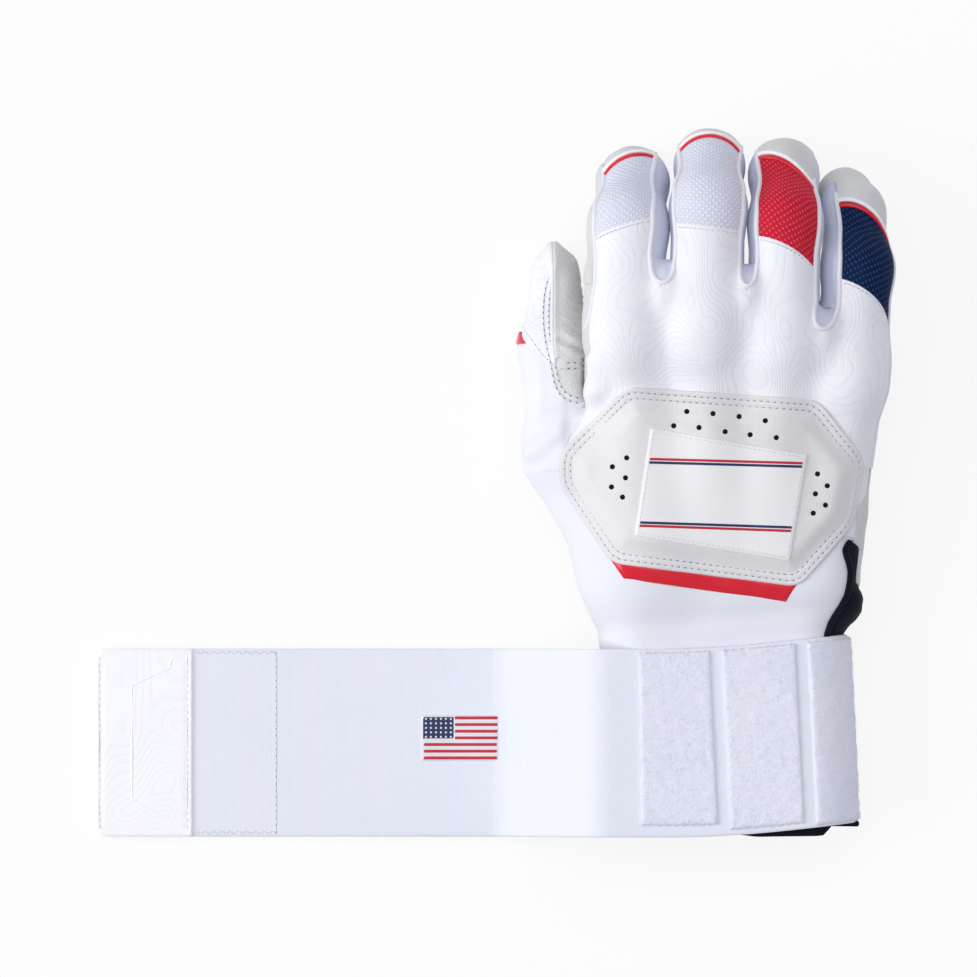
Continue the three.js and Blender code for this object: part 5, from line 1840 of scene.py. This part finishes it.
    def build_label(self) -> None:
        """The label: a leather patch with a stitched edge, and printed stripes."""
        wide, tall = self.label_size
        grid = self.over_label(graded(wide, 1.6)[None], graded(tall, 1.6)[:, None])
        sheet = Sheet(Patch(grid, normals=upright(grid)))
        base = self.height(self.depth(sheet.points))
        solid = sheet.solid(base - 0.3, base + sheet.rolled(0.75, 0.8, 0.55))
        piece("label_leather", solid, LABEL_LEATHER, cad="label_patch", body="hand")
        corners = ((0.022, 0.032), (0.978, 0.032), (0.978, 0.968), (0.022, 0.968), (0.022, 0.032))
        line = resample(np.array(corners) * self.label_size, 1.0) / self.label_size
        path = self.over_label(line[:, 0], line[:, 1])
        lift = self.height(self.depth(path)) + 0.72
        up = upright(path)
        row = LABEL_STITCHES.row(path + up * lift[:, None], up, 0.0)
        piece("label_stitches", row, THREAD, HOLE_SHADE, body="hand")
        stripes = (
            ("red", 0.288, 0.082, RED_STITCH), ("navy", 0.32, 0.114, NAVY_STITCH),
            ("navy", 0.876, 0.684, NAVY_STITCH), ("red", 0.906, 0.717, RED_STITCH),
        )
        u = steps(60, 0.022, 0.978)
        beside = np.linspace(-0.5, 0.5, 5)[:, None] * self.stripe / tall
        for i, (name, left, right, finish) in enumerate(stripes):
            grid = self.over_label(u[None], lerp(left, right, u)[None] + beside)
            ribbon = Sheet(Patch(grid, normals=upright(grid)))
            base = self.height(self.depth(ribbon.points)) + 0.6
            piece(f"label_stripe_{i}_{name}", ribbon.solid(base, base + 0.2), finish, body="hand")

    def build_accent(self) -> None:
        """The red accent: a glossy rolled strip, tucked under the pad's lower edge."""
        a, b, c, d = (np.array(p) for p in self.accent)
        u, v = graded(58, 1.2)[None, :, None], graded(7, 0.6)[:, None, None]
        at = lerp(lerp(a, b, u), lerp(d, c, u), v)
        grid = drop(at, HAND.whole)
        sheet = Sheet(Patch(grid, normals=upright(grid)))
        high = sheet.rolled(0.8 + 0.18 * ripples(sheet.points, 8, 29), 2.2, 0.8)
        solid = sheet.solid(-0.2, high)
        piece("pad_accent_film", solid, RED_FILM, cad="pad_accent", body="hand")


def apply_modifiers(made: Object) -> None:
    """Puts an object's modifiers into its mesh.

    Args:
        made: The object.
    """
    graph = bpy.context.evaluated_depsgraph_get()
    mesh = bpy.data.meshes.new_from_object(made.evaluated_get(graph))
    made.modifiers.clear()
    made.data = mesh


@dataclass
class Thumb:
    """The thumb: leather back and front with a pinched seam, base patch, stretch gusset and accent.

    seam, the reaches and base_side are angles round it, and base_low is a place along it.
    """

    seam: float = -3.0
    ridge: float = 0.9
    back_reach: float = -152.0
    front_reach: float = 206.0
    gusset_reach: float = -165.0
    base_low: float = 1.42
    base_side: float = -19.0

    def __post_init__(self) -> None:
        """Finds the form and the stretch from s 1.85 to 2.4 on the thumb."""
        self.form = HAND.with_digit(THUMB)
        at = THUMB.frames(np.array([1.85, 2.4]))[0]
        self.start, self.end = metres(at[0]), metres(at[1])

    def build(self) -> None:
        """Builds and dresses every piece."""
        self.build_halves()
        self.build_base()
        self.build_gusset()
        self.build_accent()
        self.build_stitches()

    def on(self, s: Points, angle: Points) -> Points:
        """Points on the thumb."""
        return THUMB.on(s, angle, self.form)

    def bend(self, made: Object) -> None:
        """Puts a piece's transform into its mesh; it does not bend with the thumb."""
        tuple(self.start)
        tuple(self.end)
        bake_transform(made)

    def back_edge(self, angle: Points) -> Points:
        """s of the back leather's lower edge: level outside, then straight as seen from above."""
        return lerp(2.3, 1.82, np.minimum((np.sin(np.radians(np.maximum(angle, -90))) + 1) / 0.7, 1))

    def front_edge(self, angle: Points) -> Points:
        """s of the front leather's lower edge, which rises towards the palm."""
        share = (angle - self.seam) / (self.front_reach - self.seam)
        return lerp(1.86, 2.29, ramp(share, 0.6, 1))

    def pinch(self, points: Points, seam: Points) -> Points:
        """The ridge along the seam line, which is higher and wider at the tip.

        Args:
            points: Points in mm.
            seam: The seam line.

        Returns:
            A height for each point.
        """
        near_tip = ramp(points[:, 1], 157, 166)
        away = line_distance(points, seam[:-1], seam[1:]) / (1.1 + 1.6 * near_tip)
        return self.ridge * (1 + 1.6 * near_tip) * np.exp(-(away**2))

    def build_halves(self) -> None:
        """The back and the front: from their lower edges to the tip."""
        seam = self.on(steps(60, 1.5, 3.9), self.seam)
        back = lerp(self.back_reach, self.seam, graded(34, 1.0))
        front = lerp(self.seam, self.front_reach, graded(40, 1.0))
        for name, angles, edge, finish in (
            ("back", back, self.back_edge(back), WHITE_LEATHER),
            ("front", front, self.front_edge(front), LIT_THUMB_LEATHER),
        ):
            body = lerp(edge, np.full(len(angles), 3.0), graded(34, 1.0)[:, None])
            tip = np.broadcast_to(steps(22, 3, 4)[1:, None], (22, len(angles)))
            sheet = Sheet(Patch(self.on(np.concatenate([body, tip]), angles[None]), self.form))
            p = sheet.points
            soft = self.wrinkles(p) if name == "front" else 0.12 * ripples(p, 12, 37)
            soft = soft * sheet.inside(4)
            high = sheet.rolled(0.3 + soft, 0.8, 0.4) + self.pinch(p, seam)
            solid = sheet.solid(LEATHER_IN, high)
            self.bend(piece(f"thumb_{name}_leather", solid, finish, cad=f"thumb_{name}"))

    def wrinkles(self, p: Points) -> Points:
        """Heights of the front leather: slanting wrinkles over the joint, and a deep crease below them.

        Args:
            p: Points in mm.

        Returns:
            A height for each point.
        """
        x, y = p[:, 0], p[:, 1]
        over = ramp(y, 129, 135) * (1 - ramp(y, 147, 160)) * ramp(x, -63, -58)
        at = x * 0.64 + y * 0.77 + 0.6 * ripples(p, 8, 31)
        slant = np.sin(at * 2 * np.pi / 1.9)
        slant = slant + 0.8 * np.sin(at * 2 * np.pi / 3.3 + 1) * ramp(-y, -148, -138)
        ends = np.array([[-60.2, 136.0, 0]]), np.array([[-51.0, 131.2, 0]])
        crease = line_distance(p * (1, 1, 0), *ends)
        fold = 0.7 * bell(crease, 1.9, 1.2) - 1.3 * bell(crease, 0, 0.75)
        return 0.26 * slant * over + fold + 0.2 * ripples(p, 7, 33)

    def base_edge(self, angle: Points) -> Points:
        """The base patch's lower edge: round beside the seam, and further down under the thumb.

        Args:
            angle: Angles round the thumb.

        Returns:
            s for each of them.
        """
        beside = angle - self.base_side
        low = self.base_low + 0.32 * np.exp(-beside / 11) + 0.1 * beside / 127
        return low - 0.45 * ramp(angle, 124, 160)

    def build_base(self) -> None:
        """The base patch below the front: it carries the thumb's cross seam."""
        angles = lerp(self.base_side, 208.0, graded(50, 1.2))
        upper = np.where(angles < self.seam, self.back_edge(angles), self.front_edge(angles)) + 0.03
        s = lerp(self.base_edge(angles), upper, graded(16, 1.0)[:, None])
        sheet = Sheet(Patch(self.on(s, angles[None]), self.form))
        soft = 0.2 * ripples(sheet.points, 9, 41) * sheet.inside(3)
        soft = soft - 1.6 * ramp(sheet.points[:, 0], -53.0, -51.5)
        solid = sheet.solid(-2.2, sheet.rolled(0.25 + soft, 0.9, 0.6))
        self.bend(piece("thumb_base_leather", solid, LIT_THUMB_LEATHER, cad="thumb_base_patch"))

    def build_gusset(self) -> None:
        """The stretch fabric from the wrist to the thumb's leather, with a fold over the thumb's ball."""
        n = 70
        angles = lerp(self.gusset_reach, 38.0, steps(n))
        bottom = HAND.around(np.full(n + 1, BACK_SEAM_Y - 1), lerp(214.0, 148.0, steps(n)))
        waist = self.base_low + 0.3
        middle = self.on(np.full(n + 1, waist), angles)
        low = snap(lerp(bottom, middle, steps(34)[:, None, None]), self.form)
        low[0], low[-1] = bottom, middle
        top = np.where(angles <= self.seam + 2.0, self.back_edge(angles) + 0.05, waist)
        upper = self.on(lerp(np.full(n + 1, waist), top, graded(16, 1.0)[1:, None]), angles[None])
        sheet = Sheet(Patch(np.concatenate([low, upper]), self.form))
        p = sheet.points
        fold = line_distance(p * (1, 1, 0), np.array([[-70.0, 98, 0]]), np.array([[-53.0, 111, 0]]))
        ridge = 1.1 * bell(fold, 0, 2.4) - 0.6 * bell(fold, 4.2, 2.0)
        under = ramp(p[:, 1], 110.5, 114) * ramp(p[:, 0], -66.5, -64)
        high = 0.05 + 0.25 * ripples(p, 15, 43) + ridge * ramp(p[:, 2], 14, 22)
        high = high * (1 - under) - 0.7 * under
        inside = ramp(p[:, 0], -60, -57)
        high = high - 0.8 * inside - 1.1 * inside * bell(fold, 0, 2.4)
        solid = sheet.solid(-1.9, sheet.rolled(high, 1.0, 0.4))
        made = piece("thumb_gusset_fabric", solid, JERSEY, cad="thumb_gusset")
        self.bend(made)
        sheet.declare()

    def build_accent(self) -> None:
        """The red accent on the gusset: a fan that narrows towards the back leather."""
        f, t = graded(8, 0.8)[:, None] * 0.96 + 0.04, graded(8, 0.8)
        s = lerp(2.26, lerp(2.12, 2.06, t), f)
        sheet = Sheet(Patch(self.on(s, lerp(-76.0, lerp(-98.0, -50.0, t), f)), self.form))
        solid = sheet.solid(-0.2, sheet.rolled(1.0, 0.9, 0.6))
        self.bend(piece("thumb_accent_film", solid, RED_FILM, cad="thumb_accent"))

    def build_stitches(self) -> None:
        """Two rows beside the pinched seam, a row on the diagonal edge, and two on the cross seam."""
        inner = (
            (-62.2, 158.6), (-63.3, 153.5), (-63.8, 147), (-63.9, 141), (-63.3, 134), (-62.0, 128.5),
            (-61.2, 124.5), (-60.3, 121), (-59.2, 118.5), (-57.3, 116.8), (-53.8, 115.9),
        )
        outer = (
            (-63.4, 158.0), (-65.0, 153.5), (-65.7, 147), (-65.7, 141), (-64.8, 134), (-63.2, 128),
            (-62.5, 123.5), (-61.6, 119.8), (-60.2, 117), (-57.8, 115.2), (-53.8, 114.3),
        )
        rows = []
        for corners, lift in ((inner, 0.66), (outer, 0.44)):
            path = soften(resample(np.array(corners), 0.8), 3)
            rows.append((drop(path, self.form), lift))
        angle = steps(50, -88, self.seam - 12)
        rows.append((self.on(self.back_edge(angle) + 0.045, angle), 0.3))
        across = steps(40, self.seam + 8, 100)
        rows += [(self.on(self.front_edge(across) - beyond, across), 0.3) for beyond in (0.04, 0.095)]
        sewn = joined([STITCHES.row(p, gradient(p, self.form), lift) for p, lift in rows])
        self.bend(piece("thumb_stitches", sewn, THREAD, HOLE_SHADE))


@dataclass
class Strap:
    """The wrist strap: elastic round the wrist and open to the left, loop panels, a flag and an end tab.

    x is along the glove's width. The strap's inner face lies on the wrist, folds at fold_x and lands at
    land_x. mid_x are the joints of its three lengths, and cross_x is a row of stitches.
    """

    width: float = 63.5
    thick: float = 2.0
    under_x: float = -12.0
    fold_x: float = -48.0
    land_x: float = -79.5
    seam_x: float = -184.0
    end_x: float = -217.0
    mid_x: tuple[float, float] = (-64, -112)
    cross_x: float = -156
    top_z: float = 31.0
    flat_z: float = 1.3
    skew: float = 5.5
    loops: tuple[tuple[str, float, float, float], ...] = (
        ("a", -33.0, -7.8, 4.2), ("b", -3.8, 21.1, 2.2),
    )
    flag: tuple[float, float, float, float] = (-106.8, -80.8, -6.0, 9.2)

    def __post_init__(self) -> None:
        """Draws the inner face's line from the sewn root to the tab, with rounded bends."""
        radius = HAND.cuff_radius + 0.5
        a = np.radians(steps(40, -90, 90))
        turn = np.stack([HAND.cuff_right + radius * np.cos(a), HAND.cuff_z + radius * np.sin(a)], -1)
        corners = [
            [[self.under_x, HAND.cuff_z - radius]],
            turn,
            [[self.fold_x, self.top_z], [self.land_x, self.flat_z], [self.seam_x - 3, self.flat_z]],
        ]
        raw = resample(np.concatenate(corners), 0.5)
        self.line = soften(raw, 9)
        self.line[0], self.line[-1] = raw[0], raw[-1]
        self.length = np.concatenate([[0], np.linalg.norm(np.diff(self.line, axis=0), axis=1).cumsum()])

    def at_x(self, x: float) -> float:
        """Length along the line at which its upper run is at x."""
        upper = np.argmax(self.line[:, 0])
        return float(np.interp(-x, -self.line[upper:, 0], self.length[upper:]))

    def face(self, along: Points, y: Points) -> tuple[Points, Points]:
        """The inner face, which climbs towards the fingers where it turns round the little-finger edge.

        It is pushed out where the hand is fuller than the line.

        Args:
            along: Lengths along the line.
            y: Places across it.

        Returns:
            The face's points and their outward normals.
        """
        x, z = (np.interp(along, self.length, self.line[:, i])[:, None] for i in range(2))
        shift = self.skew * np.clip((x + 20) / 61, 0, 1) ** 1.6
        x = x - HAND.lean(y)[None] * ramp(x, -45, -12)
        z = np.broadcast_to(z, x.shape)
        p = np.stack([x, y[None] + shift, z], -1)
        for _ in range(3):
            p = p + gradient(p, HAND.hand) * np.maximum(0.5 - HAND.hand(p), 0)[..., None]
        normals = -unit(np.cross(np.gradient(p, axis=0), np.gradient(p, axis=1)))
        return p, normals

    def build(self) -> None:
        """Builds and dresses every piece."""
        self.build_elastic()
        self.build_loops()
        self.build_tab()
        self.build_flag()
        self.build_stitches()

    def build_elastic(self) -> None:
        """The elastic in three lengths, which meet half way down the slope and on the loose run.

        Its two long edges are rounded along quarter circles.
        """
        half = self.width / 2
        y = graded(self.width, 1.8) * self.width - half
        names = ("strap_base", "strap_side", "strap_loose")
        bodies = ("hand", "strap_slope", "strap_run", "strap_end")
        bends = (
            ((self.fold_x + 5, 0, self.top_z + 1), (self.fold_x - 5, 0, self.top_z - 6)),
            ((self.land_x + 5, 0, self.flat_z + 6), (self.land_x - 5, 0, self.flat_z)),
            ((self.seam_x + 3, 0, self.flat_z), (self.seam_x - 2, 0, self.flat_z)),
        )
        marks = (0.0, *(self.at_x(x) for x in self.mid_x), self.length[-1])
        parts = zip(names, bodies, bodies[1:], bends, marks, marks[1:])
        for name, a, b, (start, end), low, high in parts:
            along = np.linspace(low, high, max(int((high - low) / 0.9), 8))
            points, normals = self.face(along, y)
            sheet = Sheet(Patch(points, normals=normals))
            sheet.flat[:, 1] += low
            t = 1 - np.clip(half - np.abs(sheet.flat[:, 0]), 0, 1)
            solid = sheet.solid(0.0, self.thick - 0.7 * (1 - np.sqrt(1 - t * t)))
            made = piece(f"{name}_elastic", solid, ELASTIC, cad=name)
            metres(start)
            metres(end)
            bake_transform(made)

    def panels(self) -> list[tuple[str, float, float, float]]:
        """Where the loop panels lie.

        Returns:
            Each one's name, its two ends along the line, and the rim of elastic below it.
        """
        turn, top = HAND.cuff_radius + 0.5, self.at_x(HAND.cuff_right)
        flat = [(name, self.at_x(b), self.at_x(a), rim) for name, a, b, rim in self.loops]
        return flat + [("c", top - turn * math.radians(114), top - turn * math.radians(8.5), 0.9)]

    def build_loops(self) -> None:
        """The loop panels: fuzzy patches on the elastic, with short fibres."""
        top = self.width / 2 - 1.2
        for seed, (name, low, high, rim) in enumerate(self.panels()):
            along = lerp(low, high, graded(high - low, 1.2))
            wide = top + self.width / 2 - rim
            y = graded(wide, 1.2) * wide - wide + top
            points, normals = self.face(along, y)
            sheet = Sheet(Patch(points, normals=normals))
            nap = 0.16 * ripples(sheet.points, 4, 50 + seed)
            nap = nap + 0.1 * ripples(sheet.points, 1.9, 60 + seed)
            high_face = sheet.rolled(self.thick + 1.1 + nap, 1.2, 0.9)
            solid = sheet.solid(self.thick - 0.4, high_face)
            panel = f"loop_panel_{name}"
            made = piece(f"{panel}_pile", solid, LOOP_PILE, cad=panel, body="hand")
            piece(f"{panel}_fibres", self.fibres(sheet, high_face, seed), LOOP_PILE, body="hand")

    def fibres(self, sheet: Sheet, height: Points, seed: int) -> Solid:
        """Short bent fibres that lie on the pile at random.

        Args:
            sheet: The pile.
            height: Its height over the elastic.
            seed: Which fibres they are.

        Returns:
            The fibres.
        """
        rng = np.random.default_rng(seed)
        count = len(sheet.quads)
        pick = sheet.quads[rng.integers(0, len(sheet.quads), count)]
        share = rng.dirichlet(np.ones(4), count)[..., None]
        root = (sheet.points[pick] * share).sum(axis=1)
        up = unit((sheet.normals[pick] * share).sum(axis=1))
        lift = (height[pick] * share[..., 0]).sum(axis=1)
        lean = unit(rng.normal(size=(count, 3)) + up * 0.35)
        at = root + up * (lift + 0.08)[:, None]
        return beads(at, lean, up + 0.01 * lean[:, ::-1], (1.4, 0.1, 0.1))

    def build_tab(self) -> None:
        """The end tab: a leather plate with round corners, a pressed frame and stitched ends."""
        half, corner, sewn = self.width / 2, 4.0, self.seam_x - 0.2
        a = np.radians(steps(8, 90, 180))
        upper = [self.end_x + corner + corner * np.cos(a), half - corner + corner * np.sin(a)]
        upper = np.stack(upper, -1)
        outline = [[[sewn, half]], upper, upper[::-1] * (1, -1), [[sewn, -half], [sewn, half]]]
        line = resample(np.concatenate(outline), 1.0)[:-1]
        centre = np.array([(self.seam_x + self.end_x) / 2, 0.0])
        # Rings of the outline, close together at the rolled edge.
        near = 1 - np.array([0, 0.3, 0.7, 1.1, 1.5, 1.9, 2.4, 3.0, 4.0]) / 17
        scales = np.concatenate([near, np.linspace(0.7, 0, 16)])
        at = lerp(centre, line[None], scales[:, None, None])
        grid = place(at[..., 0], at[..., 1], self.flat_z)
        sheet = Sheet(Patch(grid, lambda p: p[..., 2] - self.flat_z, closed=True))
        soft = 0.12 * ripples(sheet.points, 20, 71) - 0.2 * bell(sheet.inset, 1.9, 0.6)
        solid = sheet.solid(-0.2, sheet.rolled(self.thick + 1.0 + soft, 0.8, 0.6))
        piece("strap_tab_leather", solid, LIT_TAB_LEATHER, cad="strap_tab", body="strap_end")
        corners = (
            (-191.2, 28.4), (-192.0, 25.0), (-204.7, 19.4),
            (-204.7, -19.4), (-192.2, -25.6), (-191.2, -28.8),
        )
        p = resample(np.array(corners), 1.2)
        p = place(p[:, 0], p[:, 1], self.flat_z + self.thick + 0.95)
        piece("strap_tab_frame", tube(p, upright(p), 0.3, 8, 0.6), LIT_TAB_LEATHER, body="strap_end")
        rows = []
        for x in (self.end_x + 1.3, self.seam_x - 1.9):
            p = place(np.full(40, x), np.linspace(-half + 2.2, half - 2.2, 40), self.flat_z)
            rows.append(STITCHES.row(p, upright(p), self.thick + 0.83))
        piece("strap_tab_stitches", joined(rows), THREAD, HOLE_SHADE, body="strap_end")

    def build_flag(self) -> None:
        """The flag patch: a white twill, raised red stripes, a blue canton and white knots on it."""
        x0, x1, y0, y1 = self.flag
        z = self.flat_z + self.thick
        x, y = np.meshgrid(lerp(x0, x1, graded(26, 1.0)), lerp(y0, y1, graded(15, 1.0)))
        sheet = Sheet(Patch(place(x, y, z), lambda p: p[..., 2] - z))
        solid = sheet.solid(0.02, sheet.rolled(0.7, 0.5, 0.4))
        made = piece("flag_twill", solid, PATCH_CLOTH, cad="flag_patch", body="strap_run")
        stripes, below, rim = 13, 6, 0.3
        pitch = (y1 - y0 - 2 * rim) / stripes
        red, left, low, deep = [], x0 + rim, y0 + rim, z + 0.66
        canton, foot = left + 10.6, low + below * pitch
        for i in range(0, stripes, 2):
            start = canton if i >= below else left
            red.append(self.bar(start, x1 - rim, low + i * pitch, low + (i + 1) * pitch, deep))
        blue = self.bar(left, canton, foot, y1 - rim, deep)
        columns = np.linspace(x0 + 1.4, canton - 1.1, 6)
        gx, gy = np.meshgrid(columns, np.linspace(foot + 0.9, y1 - 1.2, 5))
        dots = place(gx.ravel(), gy.ravel(), deep + 0.16)
        along = np.tile([1.0, 0, 0], (len(dots), 1))
        stars = beads(dots, along, upright(dots), (0.75, 0.75, 0.3))
        piece("flag_stripes", joined(red), RED_STITCH, body="strap_run")
        piece("flag_canton", blue, NAVY_STITCH, body="strap_run")
        piece("flag_knots", stars, PATCH_CLOTH, body="strap_run")

    def bar(self, x0: float, x1: float, y0: float, y1: float, z: float) -> Solid:
        """A low bar of embroidery.

        Args:
            x0: Its left end.
            x1: Its right end.
            y0: Its lower side.
            y1: Its upper side.
            z: The level that it lies on.

        Returns:
            The bar.
        """
        across = lerp(y0, y1, np.array([0, 0.12, 0.35, 0.65, 0.88, 1.0]))
        x, y = np.meshgrid(np.linspace(x0, x1, 24), across)
        sheet = Sheet(Patch(place(x, y, z), lambda p: p[..., 2] - z))
        return sheet.solid(-0.1, sheet.rolled(0.14, 0.3, 0.16))

    def build_stitches(self) -> None:
        """Zigzags along the loose end's and the loop panels' edges, and a straight row across."""
        half, cross = self.width / 2, self.at_x(self.cross_x)
        sides = (1.4 - half, half - 1.4)
        runs = [("loose", cross, self.at_x(self.seam_x + 1), sides, self.thick, "strap_run")]
        for name, low, high, rim in self.panels():
            sides = (rim + 0.2 - half, half - 1.4)
            runs.append((f"loop_{name}", low, high, sides, self.thick + 0.55, "hand"))
        for name, low, high, sides, lift, body in runs:
            rows = []
            for y in sides:
                p, n = self.face(np.linspace(low, high, 60), np.array([y - 0.5, y, y + 0.5]))
                rows.append(STITCHES.zigzag(p[:, 1], n[:, 1], lift, 0.6))
            piece(f"strap_{name}_zigzag", joined(rows), THREAD, body=body)
        p, n = self.face(cross + np.array([-0.4, 0, 0.4]), np.linspace(1.5 - half, half - 1.5, 60))
        row = STITCHES.row(p[1], n[1], self.thick + 0.02)
        piece("strap_cross_stitches", row, THREAD, HOLE_SHADE, body="strap_run")


@dataclass(frozen=True)
class Stage:
    """A pale floor, a large soft lamp on the left, a softer one above, and a camera over the glove.

    A lamp has a name, a place and a size in metres, and a power in watts.
    """

    centre: tuple[float, float] = (-84.3, 85.8)
    frame: float = 330.0
    distance: float = 12.0
    white: float = 0.85
    backdrop: float = 200.0
    sky: str = "#EFF1FD"
    sky_strength: float = 0.46
    lamps: tuple[tuple[str, tuple[float, float, float], float, float], ...] = (
        ("key", (-1.9, -0.1, 1.15), 1.4, 24.5), ("top", (-0.1, 0.7, 2.2), 2.2, 18.0),
    )

    def build(self) -> None:
        """Builds the floor, the lamps, the sky and the camera."""
        self.build_floor()
        for name, at, size, power in self.lamps:
            self.lamp(name, at, size, power)
        world = bpy.data.worlds.new("sky")
        bpy.context.scene.world = world
        world.use_nodes = True
        light = world.node_tree.nodes["Background"].inputs
        light[0].default_value, light[1].default_value = linear(self.sky), self.sky_strength
        data = bpy.data.cameras.new("camera")
        data.sensor_width, data.lens = 36.0, 36.0 * self.distance / (self.frame * MM)
        camera = bpy.data.objects.new("camera", data)
        camera.location = (self.centre[0] * MM, self.centre[1] * MM, self.distance)
        bpy.context.scene.collection.objects.link(camera)
        bpy.context.scene.camera = camera
        bpy.context.scene.view_settings.view_transform = "Standard"

    def build_floor(self) -> None:
        """A thin white floor that keeps the glove's shadow, over a white backdrop that shows through it.

        The closed strap runs below the level that the glove lies on, so the floor doesn't hide it there.
        """
        layers = (
            ("floor", -0.3, self.white, "ShaderNodeBsdfTransparent"),
            ("backdrop", -self.backdrop, 1.0, "ShaderNodeEmission"),
        )
        for name, level, white, kind in layers:
            corners = np.array([(-6.0, -6, 0), (6, -6, 0), (6, 6, 0), (-6, 6, 0)]) + (0, 0, level * MM)
            mesh = bpy.data.meshes.new(name)
            mesh.from_pydata(corners.tolist(), [], [[0, 1, 2, 3]])
            made = bpy.data.materials.new(f"{name}_paper")
            made.use_nodes = True
            tree = made.node_tree
            tree.nodes.clear()
            ray = node(tree, "ShaderNodeLightPath")
            seen = ray.outputs["Is Camera Ray"]
            for other in ("Is Glossy Ray", "Is Transmission Ray", "Is Shadow Ray"):
                seen = node(tree, MATH, {0: seen, 1: ray.outputs[other]}, operation="MAXIMUM")
            share = node(tree, MATH, {0: seen, 1: white}, operation="MULTIPLY")
            paper = node(tree, "ShaderNodeBsdfDiffuse", {"Color": linear("#FAFAFA")})
            skin = node(tree, "ShaderNodeMixShader", {0: share, 1: paper, 2: node(tree, kind)})
            node(tree, "ShaderNodeOutputMaterial", {0: skin})
            mesh.materials.append(made)
            layer = bpy.data.objects.new(name, mesh)
            bpy.context.scene.collection.objects.link(layer)

    def lamp(self, name: str, at: tuple[float, float, float], size: float, power: float) -> None:
        """A square area lamp that looks at the glove.

        Args:
            name: Its name.
            at: Its place in metres.
            size: Its side in metres.
            power: Its power in watts.
        """
        data = bpy.data.lights.new(name, "AREA")
        data.size, data.energy = size, power
        made = bpy.data.objects.new(name, data)
        target = np.array([self.centre[0] * MM, self.centre[1] * MM, 0.02])
        way = target - np.array(at)
        flat = math.hypot(way[0], way[1])
        made.location = at
        made.rotation_euler = (math.atan2(flat, -way[2]), 0, math.atan2(way[1], way[0]) - math.pi / 2)
        bpy.context.scene.collection.objects.link(made)


def main() -> None:
    """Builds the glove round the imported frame, then the stage."""
    logging.basicConfig(level=logging.INFO, format="%(message)s")
    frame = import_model()
    for name in ("hook_tab", "hook_strip"):
        frame["nodes"][name].data.materials.clear()
        frame["nodes"][name].data.materials.append(HOOK_PLASTIC.material())
    knits = (WHITE_MESH, WHITE_MESH, RED_MESH, NAVY_MESH)
    rolls = (2.2, 0, 0, 0)
    fingers = [Finger(digit, knit, side_roll=roll) for digit, knit, roll in zip(FINGERS, knits, rolls)]
    BackPanel(fingers).build()
    for finger in fingers:
        finger.build()
    for left, right, notch, palm_notch in zip(fingers, fingers[1:], NOTCHES, PALM_NOTCHES):
        Fourchette(left, right, notch, palm_notch).build()
    Wrist(fingers).build()
    Pad().build()
    Thumb().build()
    Strap().build()
    Stage().build()


if __name__ == "__main__":
    main()
